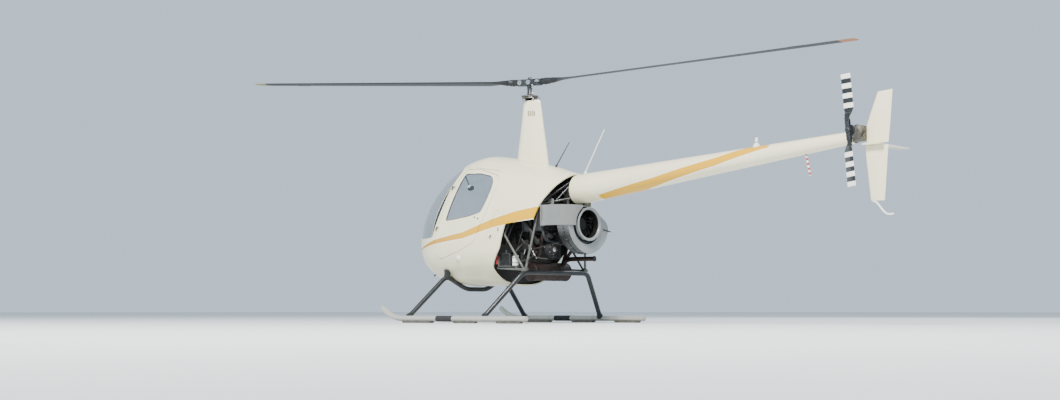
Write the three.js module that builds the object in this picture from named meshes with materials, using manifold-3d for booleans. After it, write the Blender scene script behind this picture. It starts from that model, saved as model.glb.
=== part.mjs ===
import * as THREE from "three";
import { mergeVertices } from "three/addons/utils/BufferGeometryUtils.js";
import Module from "manifold-3d";

const wasm = await Module();
wasm.setup();

// Light two-seat helicopter. Millimetres, +X nose, +Y port, +Z up, floor at z = 0.
// Places are written from the rotor mast; the whole group is shifted by MAST_X at the end.
const MAST_X = 506.24;
const GAP = 0.4;

// Driving sizes
const WALL = 21;                 // wall of the cabin and of its doors
const DOOR_GAP = 7;              // play round a closed door
const GLASS = { out: 6, in: 11 };
const ROTOR = { radius: 3835, chord: 183, thick: 22, z: 2670, hinge: 110, coning: 3.2, azimuth: 14.7 };
const TAIL_ROTOR = { radius: 533, chord: 102, thick: 12, x: -4390, y: 210, z: 1830, tilt: 6 };
const BOOM = { x0: -746, z0: 1440, r0: 163, x1: -4325, z1: 1779, r1: 60, wall: 4 };
const SKID = { y: 933, r: 31.5, z: 48, rear: -860, bend: 1110 };
const MAST_TUBE = 38;
const SWASH = { z0: 2488, z1: 2522, split: 2502, slit: 4, rLow: 84, neck: 66, r: 96 };
const HUB = { half: 152, wide: 46, low: 2632, top: 2704, shaft: 29, cap: 2728 };
const HINGE = { low: [952, 533, 1055], top: [772, 455, 1508] };
const FAR = 700;                 // past either side of the body
const HIGH = 2000;               // above the body

// Cabin and cowl sections: x, z bottom, z top, z widest, half width, power above, power below
const BODY = [
  [1600, 850, 920, 875, 25, 2.0, 2.0],
  [1588, 775, 1030, 875, 135, 2.0, 2.0],
  [1550, 680, 1160, 875, 205, 2.0, 2.0],
  [1470, 592, 1315, 880, 290, 2.0, 2.05],
  [1330, 515, 1500, 890, 398, 2.0, 2.15],
  [1120, 440, 1665, 900, 488, 2.07, 2.3],
  [850, 415, 1805, 915, 540, 2.18, 2.5],
  [550, 410, 1868, 930, 560, 2.22, 2.6],
  [250, 410, 1838, 945, 560, 2.16, 2.6],
  [-60, 420, 1780, 960, 547, 2.1, 2.6],
  [-350, 470, 1720, 985, 505, 2.05, 2.4],
  [-620, 600, 1645, 1010, 440, 2.0, 2.2],
  [-800, 700, 1602, 1030, 392, 2.0, 2.1],
];

// Side-view outlines, each point x, z
const DOOR = [[1014, 826], [985, 742], [897, 708], [600, 780], [322, 881], [232, 1056], [135, 1230],
  [75, 1450], [72, 1560], [133, 1628], [409, 1703], [655, 1722], [715, 1600], [765, 1480], [815, 1340],
  [880, 1200], [942, 1075], [1000, 955]];
const WINDOW = [[800, 1135], [745, 1290], [690, 1450], [650, 1600], [630, 1664], [392, 1655],
  [215, 1618], [155, 1560], [142, 1470], [170, 1350], [232, 1215], [411, 1174], [620, 1150]];
const SCREEN = [[1045, 958], [1250, 948], [1650, 970], [1650, 1900], [900, 1900], [740, 1690],
  [775, 1600], [822, 1480], [872, 1340], [935, 1200], [1000, 1070]];
const ENGINE_BAY = [[-137, 1074], [-58, 813], [103, 603], [70, 300], [-900, 300], [-900, 1180],
  [-520, 1116]];
const COWL_REAR = [[-497, 1000], [-497, 1116], [-551, 1281], [-640, 1440], [-742, 1600],
  [-742, 1900], [-1000, 1900], [-1000, 1000]];
const COWL_JOIN = -100;

const rad = THREE.MathUtils.degToRad;
const group = new THREE.Group();

function solidOf(geometry) {
  const plain = geometry.clone();
  plain.deleteAttribute("normal");
  plain.deleteAttribute("uv");
  const merged = mergeVertices(plain, 1e-3);
  return new wasm.Manifold(new wasm.Mesh({
    numProp: 3,
    vertProperties: new Float32Array(merged.attributes.position.array),
    triVerts: new Uint32Array(merged.index.array),
  }));
}

function add(name, solid, colour, roughness, metalness) {
  const mesh = solid.getMesh();
  const geometry = new THREE.BufferGeometry();
  const places = new Float32Array(mesh.numVert * 3);
  for (let i = 0; i < mesh.numVert; i++) {
    places.set(mesh.vertProperties.subarray(i * mesh.numProp, i * mesh.numProp + 3), i * 3);
  }
  geometry.setAttribute("position", new THREE.BufferAttribute(places, 3));
  geometry.setIndex(new THREE.BufferAttribute(new Uint32Array(mesh.triVerts), 1));
  geometry.computeVertexNormals();
  const material = new THREE.MeshStandardMaterial({ color: colour, roughness, metalness });
  const made = new THREE.Mesh(geometry, material);
  made.name = name;
  group.add(made);
}

function join(...solids) {
  return solids.reduce((all, one) => all.add(one));
}

function box(x0, x1, y0, y1, z0, z1) {
  const made = new THREE.BoxGeometry(x1 - x0, y1 - y0, z1 - z0);
  made.translate((x0 + x1) / 2, (y0 + y1) / 2, (z0 + z1) / 2);
  return solidOf(made);
}

function rod(from, to, radius, sides = 10, radiusTo = radius) {
  const a = new THREE.Vector3(...from);
  const b = new THREE.Vector3(...to);
  const made = new THREE.CylinderGeometry(radiusTo, radius, a.distanceTo(b), sides);
  const turn = new THREE.Quaternion();
  turn.setFromUnitVectors(new THREE.Vector3(0, 1, 0), b.clone().sub(a).normalize());
  made.applyQuaternion(turn);
  made.translate((a.x + b.x) / 2, (a.y + b.y) / 2, (a.z + b.z) / 2);
  return solidOf(made);
}

function circle(at, r, n) {
  return Array.from({ length: n }, (_, i) => {
    const a = (2 * Math.PI * i) / n;
    return [at[0] + r * Math.cos(a), at[1] + r * Math.sin(a)];
  });
}

function ball(at, radius, sides = 8) {
  const made = new THREE.SphereGeometry(radius, sides, sides / 2);
  made.translate(...at);
  return solidOf(made);
}

// A bent tube: straight runs with a ball at each bend.
function tube(points, radius, sides = 8) {
  const runs = points.slice(1).map((to, i) => rod(points[i], to, radius, sides));
  const bends = points.slice(1, -1).map((at) => ball(at, radius, sides));
  return join(...runs, ...bends);
}

// A side-view outline (x, z) made solid from y0 to y1.
function slab(outline, y0, y1) {
  const shape = new THREE.Shape(outline.map(([x, z]) => new THREE.Vector2(x, z)));
  const made = new THREE.ExtrudeGeometry(shape, { depth: y1 - y0, bevelEnabled: false });
  made.rotateX(Math.PI / 2);
  made.translate(0, y1, 0);
  return solidOf(made);
}

// A plan outline (x, y) made solid from z0 to z1.
function plate(outline, z0, z1) {
  const shape = new THREE.Shape(outline.map(([x, y]) => new THREE.Vector2(x, y)));
  const made = new THREE.ExtrudeGeometry(shape, { depth: z1 - z0, bevelEnabled: false });
  made.translate(0, 0, z0);
  return solidOf(made);
}

// A front-view outline (y, z) made solid from x0 to x1.
function disc(outline, x0, x1, holes = []) {
  const shape = new THREE.Shape(outline.map(([y, z]) => new THREE.Vector2(y, z)));
  shape.holes = holes.map((hole) => new THREE.Path(hole.map(([y, z]) => new THREE.Vector2(y, z))));
  const made = new THREE.ExtrudeGeometry(shape, { depth: x1 - x0, bevelEnabled: false });
  made.applyMatrix4(new THREE.Matrix4().set(0, 0, 1, x0, 1, 0, 0, 0, 0, 1, 0, 0, 0, 0, 0, 1));
  return solidOf(made);
}

// Rings of points, all alike in number, skinned and capped at both ends.
function loft(rings) {
  const n = rings[0].length;
  const points = rings.flat();
  const faces = [];
  for (let i = 0; i < rings.length - 1; i++) {
    for (let j = 0; j < n; j++) {
      const a = i * n + j;
      const b = i * n + ((j + 1) % n);
      faces.push(a, b, b + n, a, b + n, a + n);
    }
  }
  const last = (rings.length - 1) * n;
  for (let j = 1; j < n - 1; j++) {
    faces.push(0, j + 1, j);
    faces.push(last, last + j, last + j + 1);
  }
  const made = new THREE.BufferGeometry();
  made.setAttribute("position", new THREE.BufferAttribute(new Float32Array(points.flat()), 3));
  made.setIndex(faces);
  const solid = solidOf(made);
  if (solid.volume() > 0) return solid;
  made.setIndex(faces.map((v, i) => faces[i - (i % 3) + [0, 2, 1][i % 3]]));
  return solidOf(made);
}

// Moves each side of a closed outline inwards (or outwards when negative).
function inset(outline, by) {
  const n = outline.length;
  let area = 0;
  outline.forEach(([x, y], i) => {
    const [u, v] = outline[(i + 1) % n];
    area += x * v - u * y;
  });
  const side = Math.sign(area);
  const lines = outline.map(([x, y], i) => {
    const [u, v] = outline[(i + 1) % n];
    const long = Math.hypot(u - x, v - y);
    return { x: x - (side * by * (v - y)) / long, y: y + (side * by * (u - x)) / long,
      dx: (u - x) / long, dy: (v - y) / long };
  });
  return lines.map((b, i) => {
    const a = lines[(i + n - 1) % n];
    const cross = a.dx * b.dy - a.dy * b.dx;
    if (Math.abs(cross) < 1e-3) return [b.x, b.y];
    const t = ((b.x - a.x) * b.dy - (b.y - a.y) * b.dx) / cross;
    return [a.x + a.dx * t, a.y + a.dy * t];
  });
}

// Body surface
function bodySection(s) {
  const i = Math.min(Math.floor(s), BODY.length - 2);
  const t = s - i;
  const at = (k) => BODY[Math.max(0, Math.min(BODY.length - 1, k))];
  const [a, b, c, d] = [at(i - 1), at(i), at(i + 1), at(i + 2)];
  return b.map((v, k) => v + 0.5 * t * (c[k] - a[k] + t * (2 * a[k] - 5 * v + 4 * c[k] - d[k]
    + t * (3 * v - a[k] - 3 * c[k] + d[k]))));
}

function bodyPoint(s, angle) {
  const [x, low, top, widest, half, up, down] = bodySection(s);
  const c = Math.cos(angle);
  const e = Math.sin(angle);
  const power = 2 / (e >= 0 ? up : down);
  const high = e >= 0 ? top - widest : widest - low;
  return new THREE.Vector3(x, half * Math.sign(c) * Math.abs(c) ** power,
    widest + high * Math.sign(e) * Math.abs(e) ** power);
}

// Where along the rows of BODY the skin is cut into rings, and how many points go round
const STATIONS = [0, 0.5, 1, 1.5, 2, 2.5, 3, 3.5, 4, 4.5, 5, 6, 7, 8, 9, 10, 11, 12];
const ROUND = 26;
const OPEN_END = -1200;          // the hollow runs out past the rear

function bodySolid(depth) {
  const rings = STATIONS.filter((s) => depth === 0 || s >= 1).map((s) => {
    const ring = [];
    for (let j = 0; j < ROUND; j++) {
      const angle = (2 * Math.PI * (j + 0.5)) / ROUND;
      const p = bodyPoint(s, angle);
      const e = 0.02;
      const along = bodyPoint(s + e, angle).sub(bodyPoint(Math.max(0, s - e), angle));
      const round = bodyPoint(s, angle + e).sub(bodyPoint(s, angle - e));
      const out = new THREE.Vector3().crossVectors(round, along).normalize();
      if (out.y * Math.cos(angle) + out.z * Math.sin(angle) < 0) out.negate();
      p.addScaledVector(out, -depth);
      ring.push([p.x, p.y, p.z]);
    }
    return ring;
  });
  if (depth > 0) {
    const end = rings[rings.length - 1];
    rings.push(end.map(([, y, z]) => [OPEN_END, y, z]));
  }
  return loft(rings);
}

// Hinge halves: a barrel on the slanted door axis and an arm into the wall; s is +1 to port
const KNUCKLE = { r: 7, length: 24, arm: 6, play: 0.2, doorRoot: [-34, -18, -4], wallRoot: [24, -26, 4] };
function hingeHalf(s, onDoor) {
  const low = new THREE.Vector3(...HINGE.low);
  const along = new THREE.Vector3(...HINGE.top).sub(low);
  const span = along.length();
  along.normalize();
  const at = (t) => low.clone().addScaledVector(along, t);
  const flip = (v) => [v.x, s * v.y, v.z];
  const side = onDoor ? 1 : -1;
  const halves = [0, span].map((t) => {
    const arm = at(t + side * KNUCKLE.length / 2);
    const root = arm.clone().add(new THREE.Vector3(...(onDoor ? KNUCKLE.doorRoot : KNUCKLE.wallRoot)));
    return join(
      rod(flip(at(t + side * KNUCKLE.play)), flip(at(t + side * KNUCKLE.length)), KNUCKLE.r, 10),
      rod(flip(arm), flip(root), KNUCKLE.arm, 6),
    );
  });
  return join(...halves);
}

// Cabin, cowl, doors and glass
const DOOR_FROM = 200;           // doors are cut from here outwards
const STRUT = 14;                // half the post between the two screens
const ROOF_HOLE = 50;
function cabin() {
  const wall = bodySolid(0).subtract(bodySolid(WALL));
  const glassWall = bodySolid(GLASS.out).subtract(bodySolid(GLASS.in));
  const bay = slab(ENGINE_BAY, -FAR, FAR);
  let shell = wall.subtract(box(-1300, COWL_JOIN, -FAR, FAR, 0, HIGH)).subtract(bay)
    .subtract(rod([0, 0, 1600], [0, 0, HIGH], ROOF_HOLE, 16));
  for (const [where, s] of [["left", 1], ["right", -1]]) {
    const [y0, y1] = s > 0 ? [DOOR_FROM, FAR] : [-FAR, -DOOR_FROM];
    const [s0, s1] = s > 0 ? [STRUT, FAR] : [-FAR, -STRUT];
    shell = shell.subtract(slab(DOOR, y0, y1)).subtract(slab(SCREEN, s0, s1)).add(hingeHalf(s, false));
    const leaf = wall.intersect(slab(inset(DOOR, DOOR_GAP), y0, y1)).subtract(slab(WINDOW, y0, y1))
      .add(hingeHalf(s, true));
    add("door_" + where, leaf, 0xece7d6, 0.3, 0);
    add("door_window_" + where, glassWall.intersect(slab(inset(WINDOW, GAP), y0, y1)), 0x9fb6c4, 0.05, 0);
    const front = slab(inset(SCREEN, GAP), s0 + (s > 0 ? GAP : 0), s1 - (s > 0 ? 0 : GAP));
    add("windscreen_" + where, glassWall.intersect(front), 0x9fb6c4, 0.05, 0);
  }
  add("cabin_shell", shell, 0xece7d6, 0.3, 0);
  const cowl = wall.subtract(box(COWL_JOIN - GAP, 1700, -FAR, FAR, 0, HIGH)).subtract(bay)
    .subtract(slab(COWL_REAR, -FAR, FAR));
  add("rear_cowl", cowl, 0xece7d6, 0.3, 0);
}
cabin();

// Bulkhead between cabin and engine, floor and the bench with two places to sit
const BULKHEAD = [[51, 1900], [51, 862], [124, 762], [124, 300], [128, 300], [128, 764], [55, 864],
  [55, 1900]];
add("bulkhead", slab(BULKHEAD, -FAR, FAR).intersect(bodySolid(WALL + GAP)), 0xb9b9b2, 0.5, 0.6);

const FLOOR = { z: 500, top: 512, rear: 129, front: 1380 };
add("cabin_floor", box(FLOOR.rear, FLOOR.front, -FAR, FAR, FLOOR.z, FLOOR.top)
  .intersect(bodySolid(WALL + GAP)), 0x55555a, 0.8, 0);
const ON_FLOOR = FLOOR.top + GAP;
const BENCH = [[130, ON_FLOOR], [560, ON_FLOOR], [590, 760], [130, 740]];
const BENCH_ROOM = [[138, 400], [553, 400], [581, 751], [138, 731]];
const BENCH_WALL = { out: WALL + 8, in: WALL + 16 };
add("bench_box", slab(BENCH, -FAR, FAR).intersect(bodySolid(BENCH_WALL.out))
  .subtract(slab(BENCH_ROOM, -FAR, FAR).intersect(bodySolid(BENCH_WALL.in))), 0x8d8a80, 0.7, 0);

const CUSHION = [[165, 741.9], [585, 760.2], [590, 800], [560, 830], [180, 812]];
const BACKREST = [[55, 866], [130, 766], [164, 743], [178, 812], [150, 1180], [120, 1420], [80, 1440],
  [55, 1400]];
const SEATS = { from: 40, to: 460, clear: WALL + 25 };
for (const [where, y0, y1] of [["left", SEATS.from, SEATS.to], ["right", -SEATS.to, -SEATS.from]]) {
  const fit = bodySolid(SEATS.clear);
  add("cushion_" + where, slab(CUSHION, y0, y1).intersect(fit), 0x4a4038, 0.85, 0);
  add("backrest_" + where, slab(inset(BACKREST, GAP), y0, y1).intersect(fit), 0x4a4038, 0.85, 0);
}

// Instrument pedestal, open below and in front, and control stick
const PEDESTAL = { half: 140, wall: 8, outline: [[1010, ON_FLOOR], [1230, ON_FLOOR], [1200, 1120],
  [1120, 1160], [1060, 1130]], room: [[1018, 400], [1500, 400], [1500, 1000], [1190, 1112], [1122, 1150],
  [1070, 1122]] };
add("console", slab(PEDESTAL.outline, -PEDESTAL.half, PEDESTAL.half)
  .subtract(slab(PEDESTAL.room, PEDESTAL.wall - PEDESTAL.half, PEDESTAL.half - PEDESTAL.wall))
  .intersect(bodySolid(WALL + 4)), 0x26262a, 0.6, 0);
const STICK = { x: 700, foot: 40, footTop: 572, r: 15, knee: [740, 800], neck: 980, reach: 300, bar: 11,
  gripX: 690, gripLow: 860 };
const grips = [1, -1].map((s) => rod([STICK.x, s * STICK.reach, STICK.neck],
  [STICK.gripX, s * STICK.reach, STICK.gripLow], STICK.r));
add("control_stick", join(
  rod([STICK.x, 0, ON_FLOOR], [STICK.x, 0, STICK.footTop], STICK.foot),
  tube([[STICK.x, 0, STICK.footTop - 20], [STICK.knee[0], 0, STICK.knee[1]], [STICK.x, 0, STICK.neck]],
    STICK.r),
  rod([STICK.x, -STICK.reach, STICK.neck], [STICK.x, STICK.reach, STICK.neck], STICK.bar),
  ...grips,
), 0x1d1d1f, 0.6, 0);

// Mast fairing: z, x rear, x front, half width
const FAIRING = [
  [1730, -285, 180, 118],
  [1900, -258, 160, 105],
  [2150, -212, 122, 85],
  [2380, -172, 92, 68],
  [2450, -160, 76, 62],
  [2468, -158, 50, 56],
];
const FAIRING_WALL = 6;
const FAIRING_ROOF = 2462;
const FAIRING_SIDES = 16;
const NOSED = 0.2;               // how much narrower the rear is than the front
function fairingSolid(wall) {
  return loft(FAIRING.map(([z, rear, front, half]) => circle([0, 0], 1, FAIRING_SIDES).map(([u, v]) => [
    (rear + front) / 2 + ((front - rear) / 2 - wall) * u,
    (half - wall) * v * (1 - NOSED + NOSED * u),
    z,
  ])));
}
// Upright slots near the top of each side
const LOUVRE = { first: -30, step: 26, half: 7, low: 2285, high: 2345, count: 5, from: 40, to: 130 };
function louvres(y0, y1) {
  return join(...Array.from({ length: LOUVRE.count }, (_, i) => {
    const x = LOUVRE.first - i * LOUVRE.step;
    return box(x - LOUVRE.half, x + LOUVRE.half, y0, y1, LOUVRE.low, LOUVRE.high);
  }));
}
const fairing = fairingSolid(0)
  .subtract(fairingSolid(FAIRING_WALL).intersect(box(-FAR, FAR, -FAR, FAR, 0, FAIRING_ROOF)))
  .subtract(bodySolid(-GAP).add(box(-FAR, FAR, -FAR, FAR, 1500, FAIRING[0][0] + 1)))
  .subtract(rod([0, 0, 2400], [0, 0, 2500], MAST_TUBE + GAP, 16))
  .subtract(louvres(LOUVRE.from, LOUVRE.to)).subtract(louvres(-LOUVRE.to, -LOUVRE.from));
const [fairingSkin] = fairing.decompose().sort((a, b) => b.volume() - a.volume());
add("mast_fairing", fairingSkin, 0xf2eee0, 0.3, 0);

const GEARBOX = { rear: -190, front: 44, half: 120, low: 1360, top: 1600 };
const gearbox = join(
  box(GEARBOX.rear, GEARBOX.front, -GEARBOX.half, GEARBOX.half, GEARBOX.low, GEARBOX.top),
  rod([0, 0, GEARBOX.top - 20], [0, 0, SWASH.z0 - 0.3], MAST_TUBE, 16),
);
add("main_gearbox", gearbox, 0x77797c, 0.5, 0.7);

// Rotor head and blades, laid along +X and then turned to the azimuth
function turned(solid) {
  return solid.rotate([0, 0, ROTOR.azimuth]);
}
add("swashplate", join(
  rod([0, 0, SWASH.z0], [0, 0, SWASH.split], SWASH.rLow, 20),
  rod([0, 0, SWASH.split], [0, 0, SWASH.split + SWASH.slit], SWASH.neck, 20),
  rod([0, 0, SWASH.split + SWASH.slit], [0, 0, SWASH.z1], SWASH.r, 20),
).subtract(rod([0, 0, 2400], [0, 0, 2600], HUB.shaft + 2, 16)), 0x8e9194, 0.4, 0.8);

const PIN = { r: 12, reach: 78, nut: 24, nutReach: 64 };
// Each blade's arm and the link that holds it up from the swashplate
const LINK = { x: 64, y: 58, high: 2644, r: 9, clear: 5.5 };
const HORN = { x0: 50, x1: 150, y0: 30, y1: 94, low: 2640, high: 2664 };
const pins = [-ROTOR.hinge, 0, ROTOR.hinge].flatMap((x) => [
  rod([x, -PIN.reach, ROTOR.z], [x, PIN.reach, ROTOR.z], PIN.r, 8),
  rod([x, -PIN.nutReach, ROTOR.z], [x, PIN.nutReach, ROTOR.z], PIN.nut, 6),
]);
const horn = join(
  rod([LINK.x, -LINK.y, SWASH.z1 + LINK.clear], [LINK.x, -LINK.y, LINK.high], LINK.r, 8),
  box(HORN.x0, HORN.x1, -HORN.y1, -HORN.y0, HORN.low, HORN.high),
);
add("rotor_hub", turned(join(
  rod([0, 0, SWASH.z0], [0, 0, HUB.cap], HUB.shaft, 16),
  box(-HUB.half, HUB.half, -HUB.wide, HUB.wide, HUB.low, HUB.top),
  ...pins,
  horn,
  horn.rotate([0, 0, 180]),
)), 0x4c4f52, 0.45, 0.8);

// Aerofoil points, x forward from the pitch axis, z up, chord 1
const FOIL = [[0.25, 0], [0.2, 0.32], [0.08, 0.48], [-0.1, 0.5], [-0.4, 0.28], [-0.75, 0.03],
  [-0.75, -0.03], [-0.4, -0.16], [-0.1, -0.3], [0.08, -0.34], [0.2, -0.24]];
// Main blade stations: radius, chord, thickness, pitch
const BLADE = [
  [192, 74, 74, 0],
  [300, 74, 66, 4],
  [430, 120, 34, 7],
  [600, ROTOR.chord, 24, 8],
  [2000, ROTOR.chord, ROTOR.thick, 5],
  [ROTOR.radius - 45, ROTOR.chord, ROTOR.thick, 1],
  [ROTOR.radius, 150, 14, 1],
];
// Stations as thick as they are wide are round, and turn into the aerofoil further out
function bladeSolid(rows) {
  const n = FOIL.length;
  return loft(rows.map(([r, chord, thick, pitch]) => FOIL.map(([u, w], j) => {
    const a = (2 * Math.PI * j) / n;
    const round = Math.min(1, Math.max(0, (thick / chord - 0.2) / 0.6));
    const y = chord * (u * (1 - round) + 0.5 * Math.cos(a) * round);
    const z = thick * (w * (1 - round) + 0.5 * Math.sin(a) * round);
    const c = Math.cos(rad(pitch));
    const s = Math.sin(rad(pitch));
    return [r, y * c - z * s, y * s + z * c];
  })));
}
const GRIP = { end: 196, half: 34, low: 2638, high: 2704 };
for (const [name, turn] of [["main_blade_1", 0], ["main_blade_2", 180]]) {
  const whole = bladeSolid(BLADE).translate([-ROTOR.hinge, 0, 0]).rotate([0, -ROTOR.coning, 0])
    .translate([ROTOR.hinge, 0, ROTOR.z])
    .add(box(HUB.half + GAP, GRIP.end, -GRIP.half, GRIP.half, GRIP.low, GRIP.high));
  add(name, turned(whole.rotate([0, 0, turn])), 0x232427, 0.6, 0);
}

// Tail boom, tail gearbox, fins and stabiliser
function boomAt(x) {
  const t = (x - BOOM.x0) / (BOOM.x1 - BOOM.x0);
  return { z: BOOM.z0 + t * (BOOM.z1 - BOOM.z0), r: BOOM.r0 + t * (BOOM.r1 - BOOM.r0) };
}
function boomSolid(x0, x1, grow, sides) {
  const ring = (x) => {
    const { z, r } = boomAt(x);
    return circle([0, z], r + grow, sides).map(([y, up]) => [x, y, up]);
  };
  return loft([ring(x0), ring(x1)]);
}
// Front collar of the boom, open in the middle
const COLLAR = { long: 20, hole: 100 };
const collar = boomSolid(BOOM.x0, BOOM.x0 - COLLAR.long / 2, -1, 24)
  .subtract(rod([BOOM.x0 + COLLAR.long, 0, BOOM.z0], [BOOM.x0 - COLLAR.long, 0, BOOM.z0], COLLAR.hole, 24));
const boomRoom = boomSolid(BOOM.x0 + COLLAR.long, BOOM.x1 + 8, -BOOM.wall, 24);
add("tail_boom", boomSolid(BOOM.x0, BOOM.x1, 0, 24).subtract(boomRoom).add(collar), 0xece7d6, 0.3, 0);

const TAIL_BOX = { rear: -4452, front: -4326.5, neck: 52, rise: 8, r: 60, from: -60, to: 92, low: 1735,
  high: 1880, web: 20, nose: 30, noseTo: 150 };
const tailBox = join(
  rod([TAIL_BOX.front, 0, BOOM.z1], [TAIL_BOX.rear + 2, 0, BOOM.z1 + TAIL_BOX.rise], TAIL_BOX.neck, 16),
  rod([TAIL_ROTOR.x, TAIL_BOX.from, TAIL_ROTOR.z], [TAIL_ROTOR.x, TAIL_BOX.to, TAIL_ROTOR.z],
    TAIL_BOX.r, 16),
  rod([TAIL_ROTOR.x, TAIL_BOX.to - 2, TAIL_ROTOR.z], [TAIL_ROTOR.x, TAIL_BOX.noseTo, TAIL_ROTOR.z],
    TAIL_BOX.nose, 16),
  box(TAIL_BOX.rear, TAIL_ROTOR.x, -TAIL_BOX.web, TAIL_BOX.web, TAIL_BOX.low, TAIL_BOX.high),
);
add("tail_gearbox", tailBox.intersect(box(TAIL_BOX.rear, BOOM.x1 - GAP, -FAR, FAR, 1500, HIGH)),
  0xd9d5c6, 0.4, 0.2);

const FIN = [[-4580, 2192], [-4745, 2206], [-4692, 1700], [-4645, 1166], [-4495, 1166], [-4437, 1644],
  [-4440, 1690], [-4452.4, 1711], [-4452.4, 1881]];
const FIN_HALF = 15;
const STAB = { z: 1700, half: 11, outline: [[-4664, 75], [-4525, -645], [-4360, -685], [-4436, 75]] };
const finBody = slab(FIN, -FIN_HALF, FIN_HALF);
const FIN_PARTS = [["fin_upper", STAB.z + STAB.half + GAP, 2400],
  ["fin_lower", 1000, STAB.z - STAB.half - GAP]];
for (const [name, low, high] of FIN_PARTS) {
  add(name, finBody.intersect(box(-5000, -4000, -FAR, FAR, low, high)), 0xece7d6, 0.3, 0);
}
add("stabilizer", plate(STAB.outline, STAB.z - STAB.half, STAB.z + STAB.half), 0xece7d6, 0.3, 0);
const FIN_FOOT = FIN[3][1];
const BUMPER = { r: 9, run: [[-4525, 0, 1190], [-4658, 0, 1032], [-4743, 0, 1036]] };
add("tail_bumper", tube(BUMPER.run, BUMPER.r)
  .intersect(box(-5000, -4000, -FAR, FAR, 900, FIN_FOOT - GAP)), 0xe8e6dc, 0.4, 0);

// Things on the boom and roof, each cut to the skin it stands on
const boomSkin = boomSolid(BOOM.x0, BOOM.x1, GAP, 24);
const BEACON = { x: -3150, sunk: -30, rim: 4, neck: 37, high: 92, footR: 37, neckR: 18, lampR: 15 };
const beaconFoot = boomAt(BEACON.x).z + boomAt(BEACON.x).r;
function beaconPiece(low, high, r, rTop) {
  return rod([BEACON.x, 0, beaconFoot + low], [BEACON.x, 0, beaconFoot + high], r, 14, rTop);
}
add("beacon", join(
  beaconPiece(BEACON.sunk, BEACON.rim, BEACON.footR, BEACON.footR),
  beaconPiece(BEACON.rim / 2, BEACON.neck, BEACON.footR, BEACON.neckR),
  beaconPiece(BEACON.neck / 2, BEACON.high, BEACON.lampR, BEACON.lampR),
).subtract(boomSkin), 0xe9ecec, 0.2, 0);
const WHITE_AERIAL = { foot: [[-830, 0, 1613], [-848, 0, 1642]], footR: 16, from: [-840, 0, 1628],
  to: [-1116, 0, 2073], r: 8, tip: 5 };
add("antenna_white", join(
  rod(...WHITE_AERIAL.foot, WHITE_AERIAL.footR, 10),
  rod(WHITE_AERIAL.from, WHITE_AERIAL.to, WHITE_AERIAL.r, 8, WHITE_AERIAL.tip),
).subtract(boomSkin), 0xf0efe8, 0.4, 0);
const DARK_AERIAL = { from: [-384, 0, 1690], to: [-600, 0, 1966], r: 6, tip: 4 };
add("antenna_dark", rod(DARK_AERIAL.from, DARK_AERIAL.to, DARK_AERIAL.r, 8, DARK_AERIAL.tip)
  .subtract(bodySolid(-GAP)), 0x303034, 0.5, 0);
const STRIPED_ROD = { from: [-3740, 0, 1690], to: [-3798, 0, 1440], r: 7 };
add("striped_rod", rod(STRIPED_ROD.from, STRIPED_ROD.to, STRIPED_ROD.r, 8).subtract(boomSkin),
  0xc9352b, 0.5, 0);

// Tail rotor. Blade stations: radius, chord, thickness, pitch
const TAIL_BLADE = [[88, 40, 30, 0], [130, 60, 16, 6], [200, TAIL_ROTOR.chord, 14, 8],
  [TAIL_ROTOR.radius, TAIL_ROTOR.chord, TAIL_ROTOR.thick, 6]];
const TAIL_HUB = { shaft: 20, from: -59.7, to: 34, bar: 24, barHalf: 17, reach: 104, plate: 52,
  plateFrom: -46, plateTo: -34 };
const spin = (solid) => solid.rotate([0, TAIL_ROTOR.tilt, 0])
  .translate([TAIL_ROTOR.x, TAIL_ROTOR.y, TAIL_ROTOR.z]);
add("tail_rotor_hub", spin(join(
  rod([0, TAIL_HUB.from, 0], [0, TAIL_HUB.to, 0], TAIL_HUB.shaft, 14),
  box(-TAIL_HUB.bar, TAIL_HUB.bar, -TAIL_HUB.barHalf, TAIL_HUB.barHalf, -TAIL_HUB.reach, TAIL_HUB.reach),
  rod([0, TAIL_HUB.plateFrom, 0], [0, TAIL_HUB.plateTo, 0], TAIL_HUB.plate, 14),
)), 0x6b6e71, 0.4, 0.8);
const hubRoom = box(-TAIL_HUB.bar - 1 - GAP, TAIL_HUB.bar + 1 + GAP, -TAIL_HUB.barHalf - 1,
  TAIL_HUB.barHalf + 1, -200, TAIL_HUB.reach + GAP);
for (const [name, turn] of [["tail_blade_1", 0], ["tail_blade_2", 180]]) {
  const blade = loft(TAIL_BLADE.map(([r, chord, thick, pitch]) => FOIL.map(([u, w]) => {
    const c = Math.cos(rad(pitch));
    const s = Math.sin(rad(pitch));
    return [-(chord * u * c - thick * w * s), chord * u * s + thick * w * c, r];
  }))).subtract(hubRoom);
  const [outer] = blade.decompose().sort((a, b) => b.volume() - a.volume());
  add(name, spin(outer.rotate([0, turn, 0])), 0x1c1c1e, 0.5, 0);
}

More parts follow.
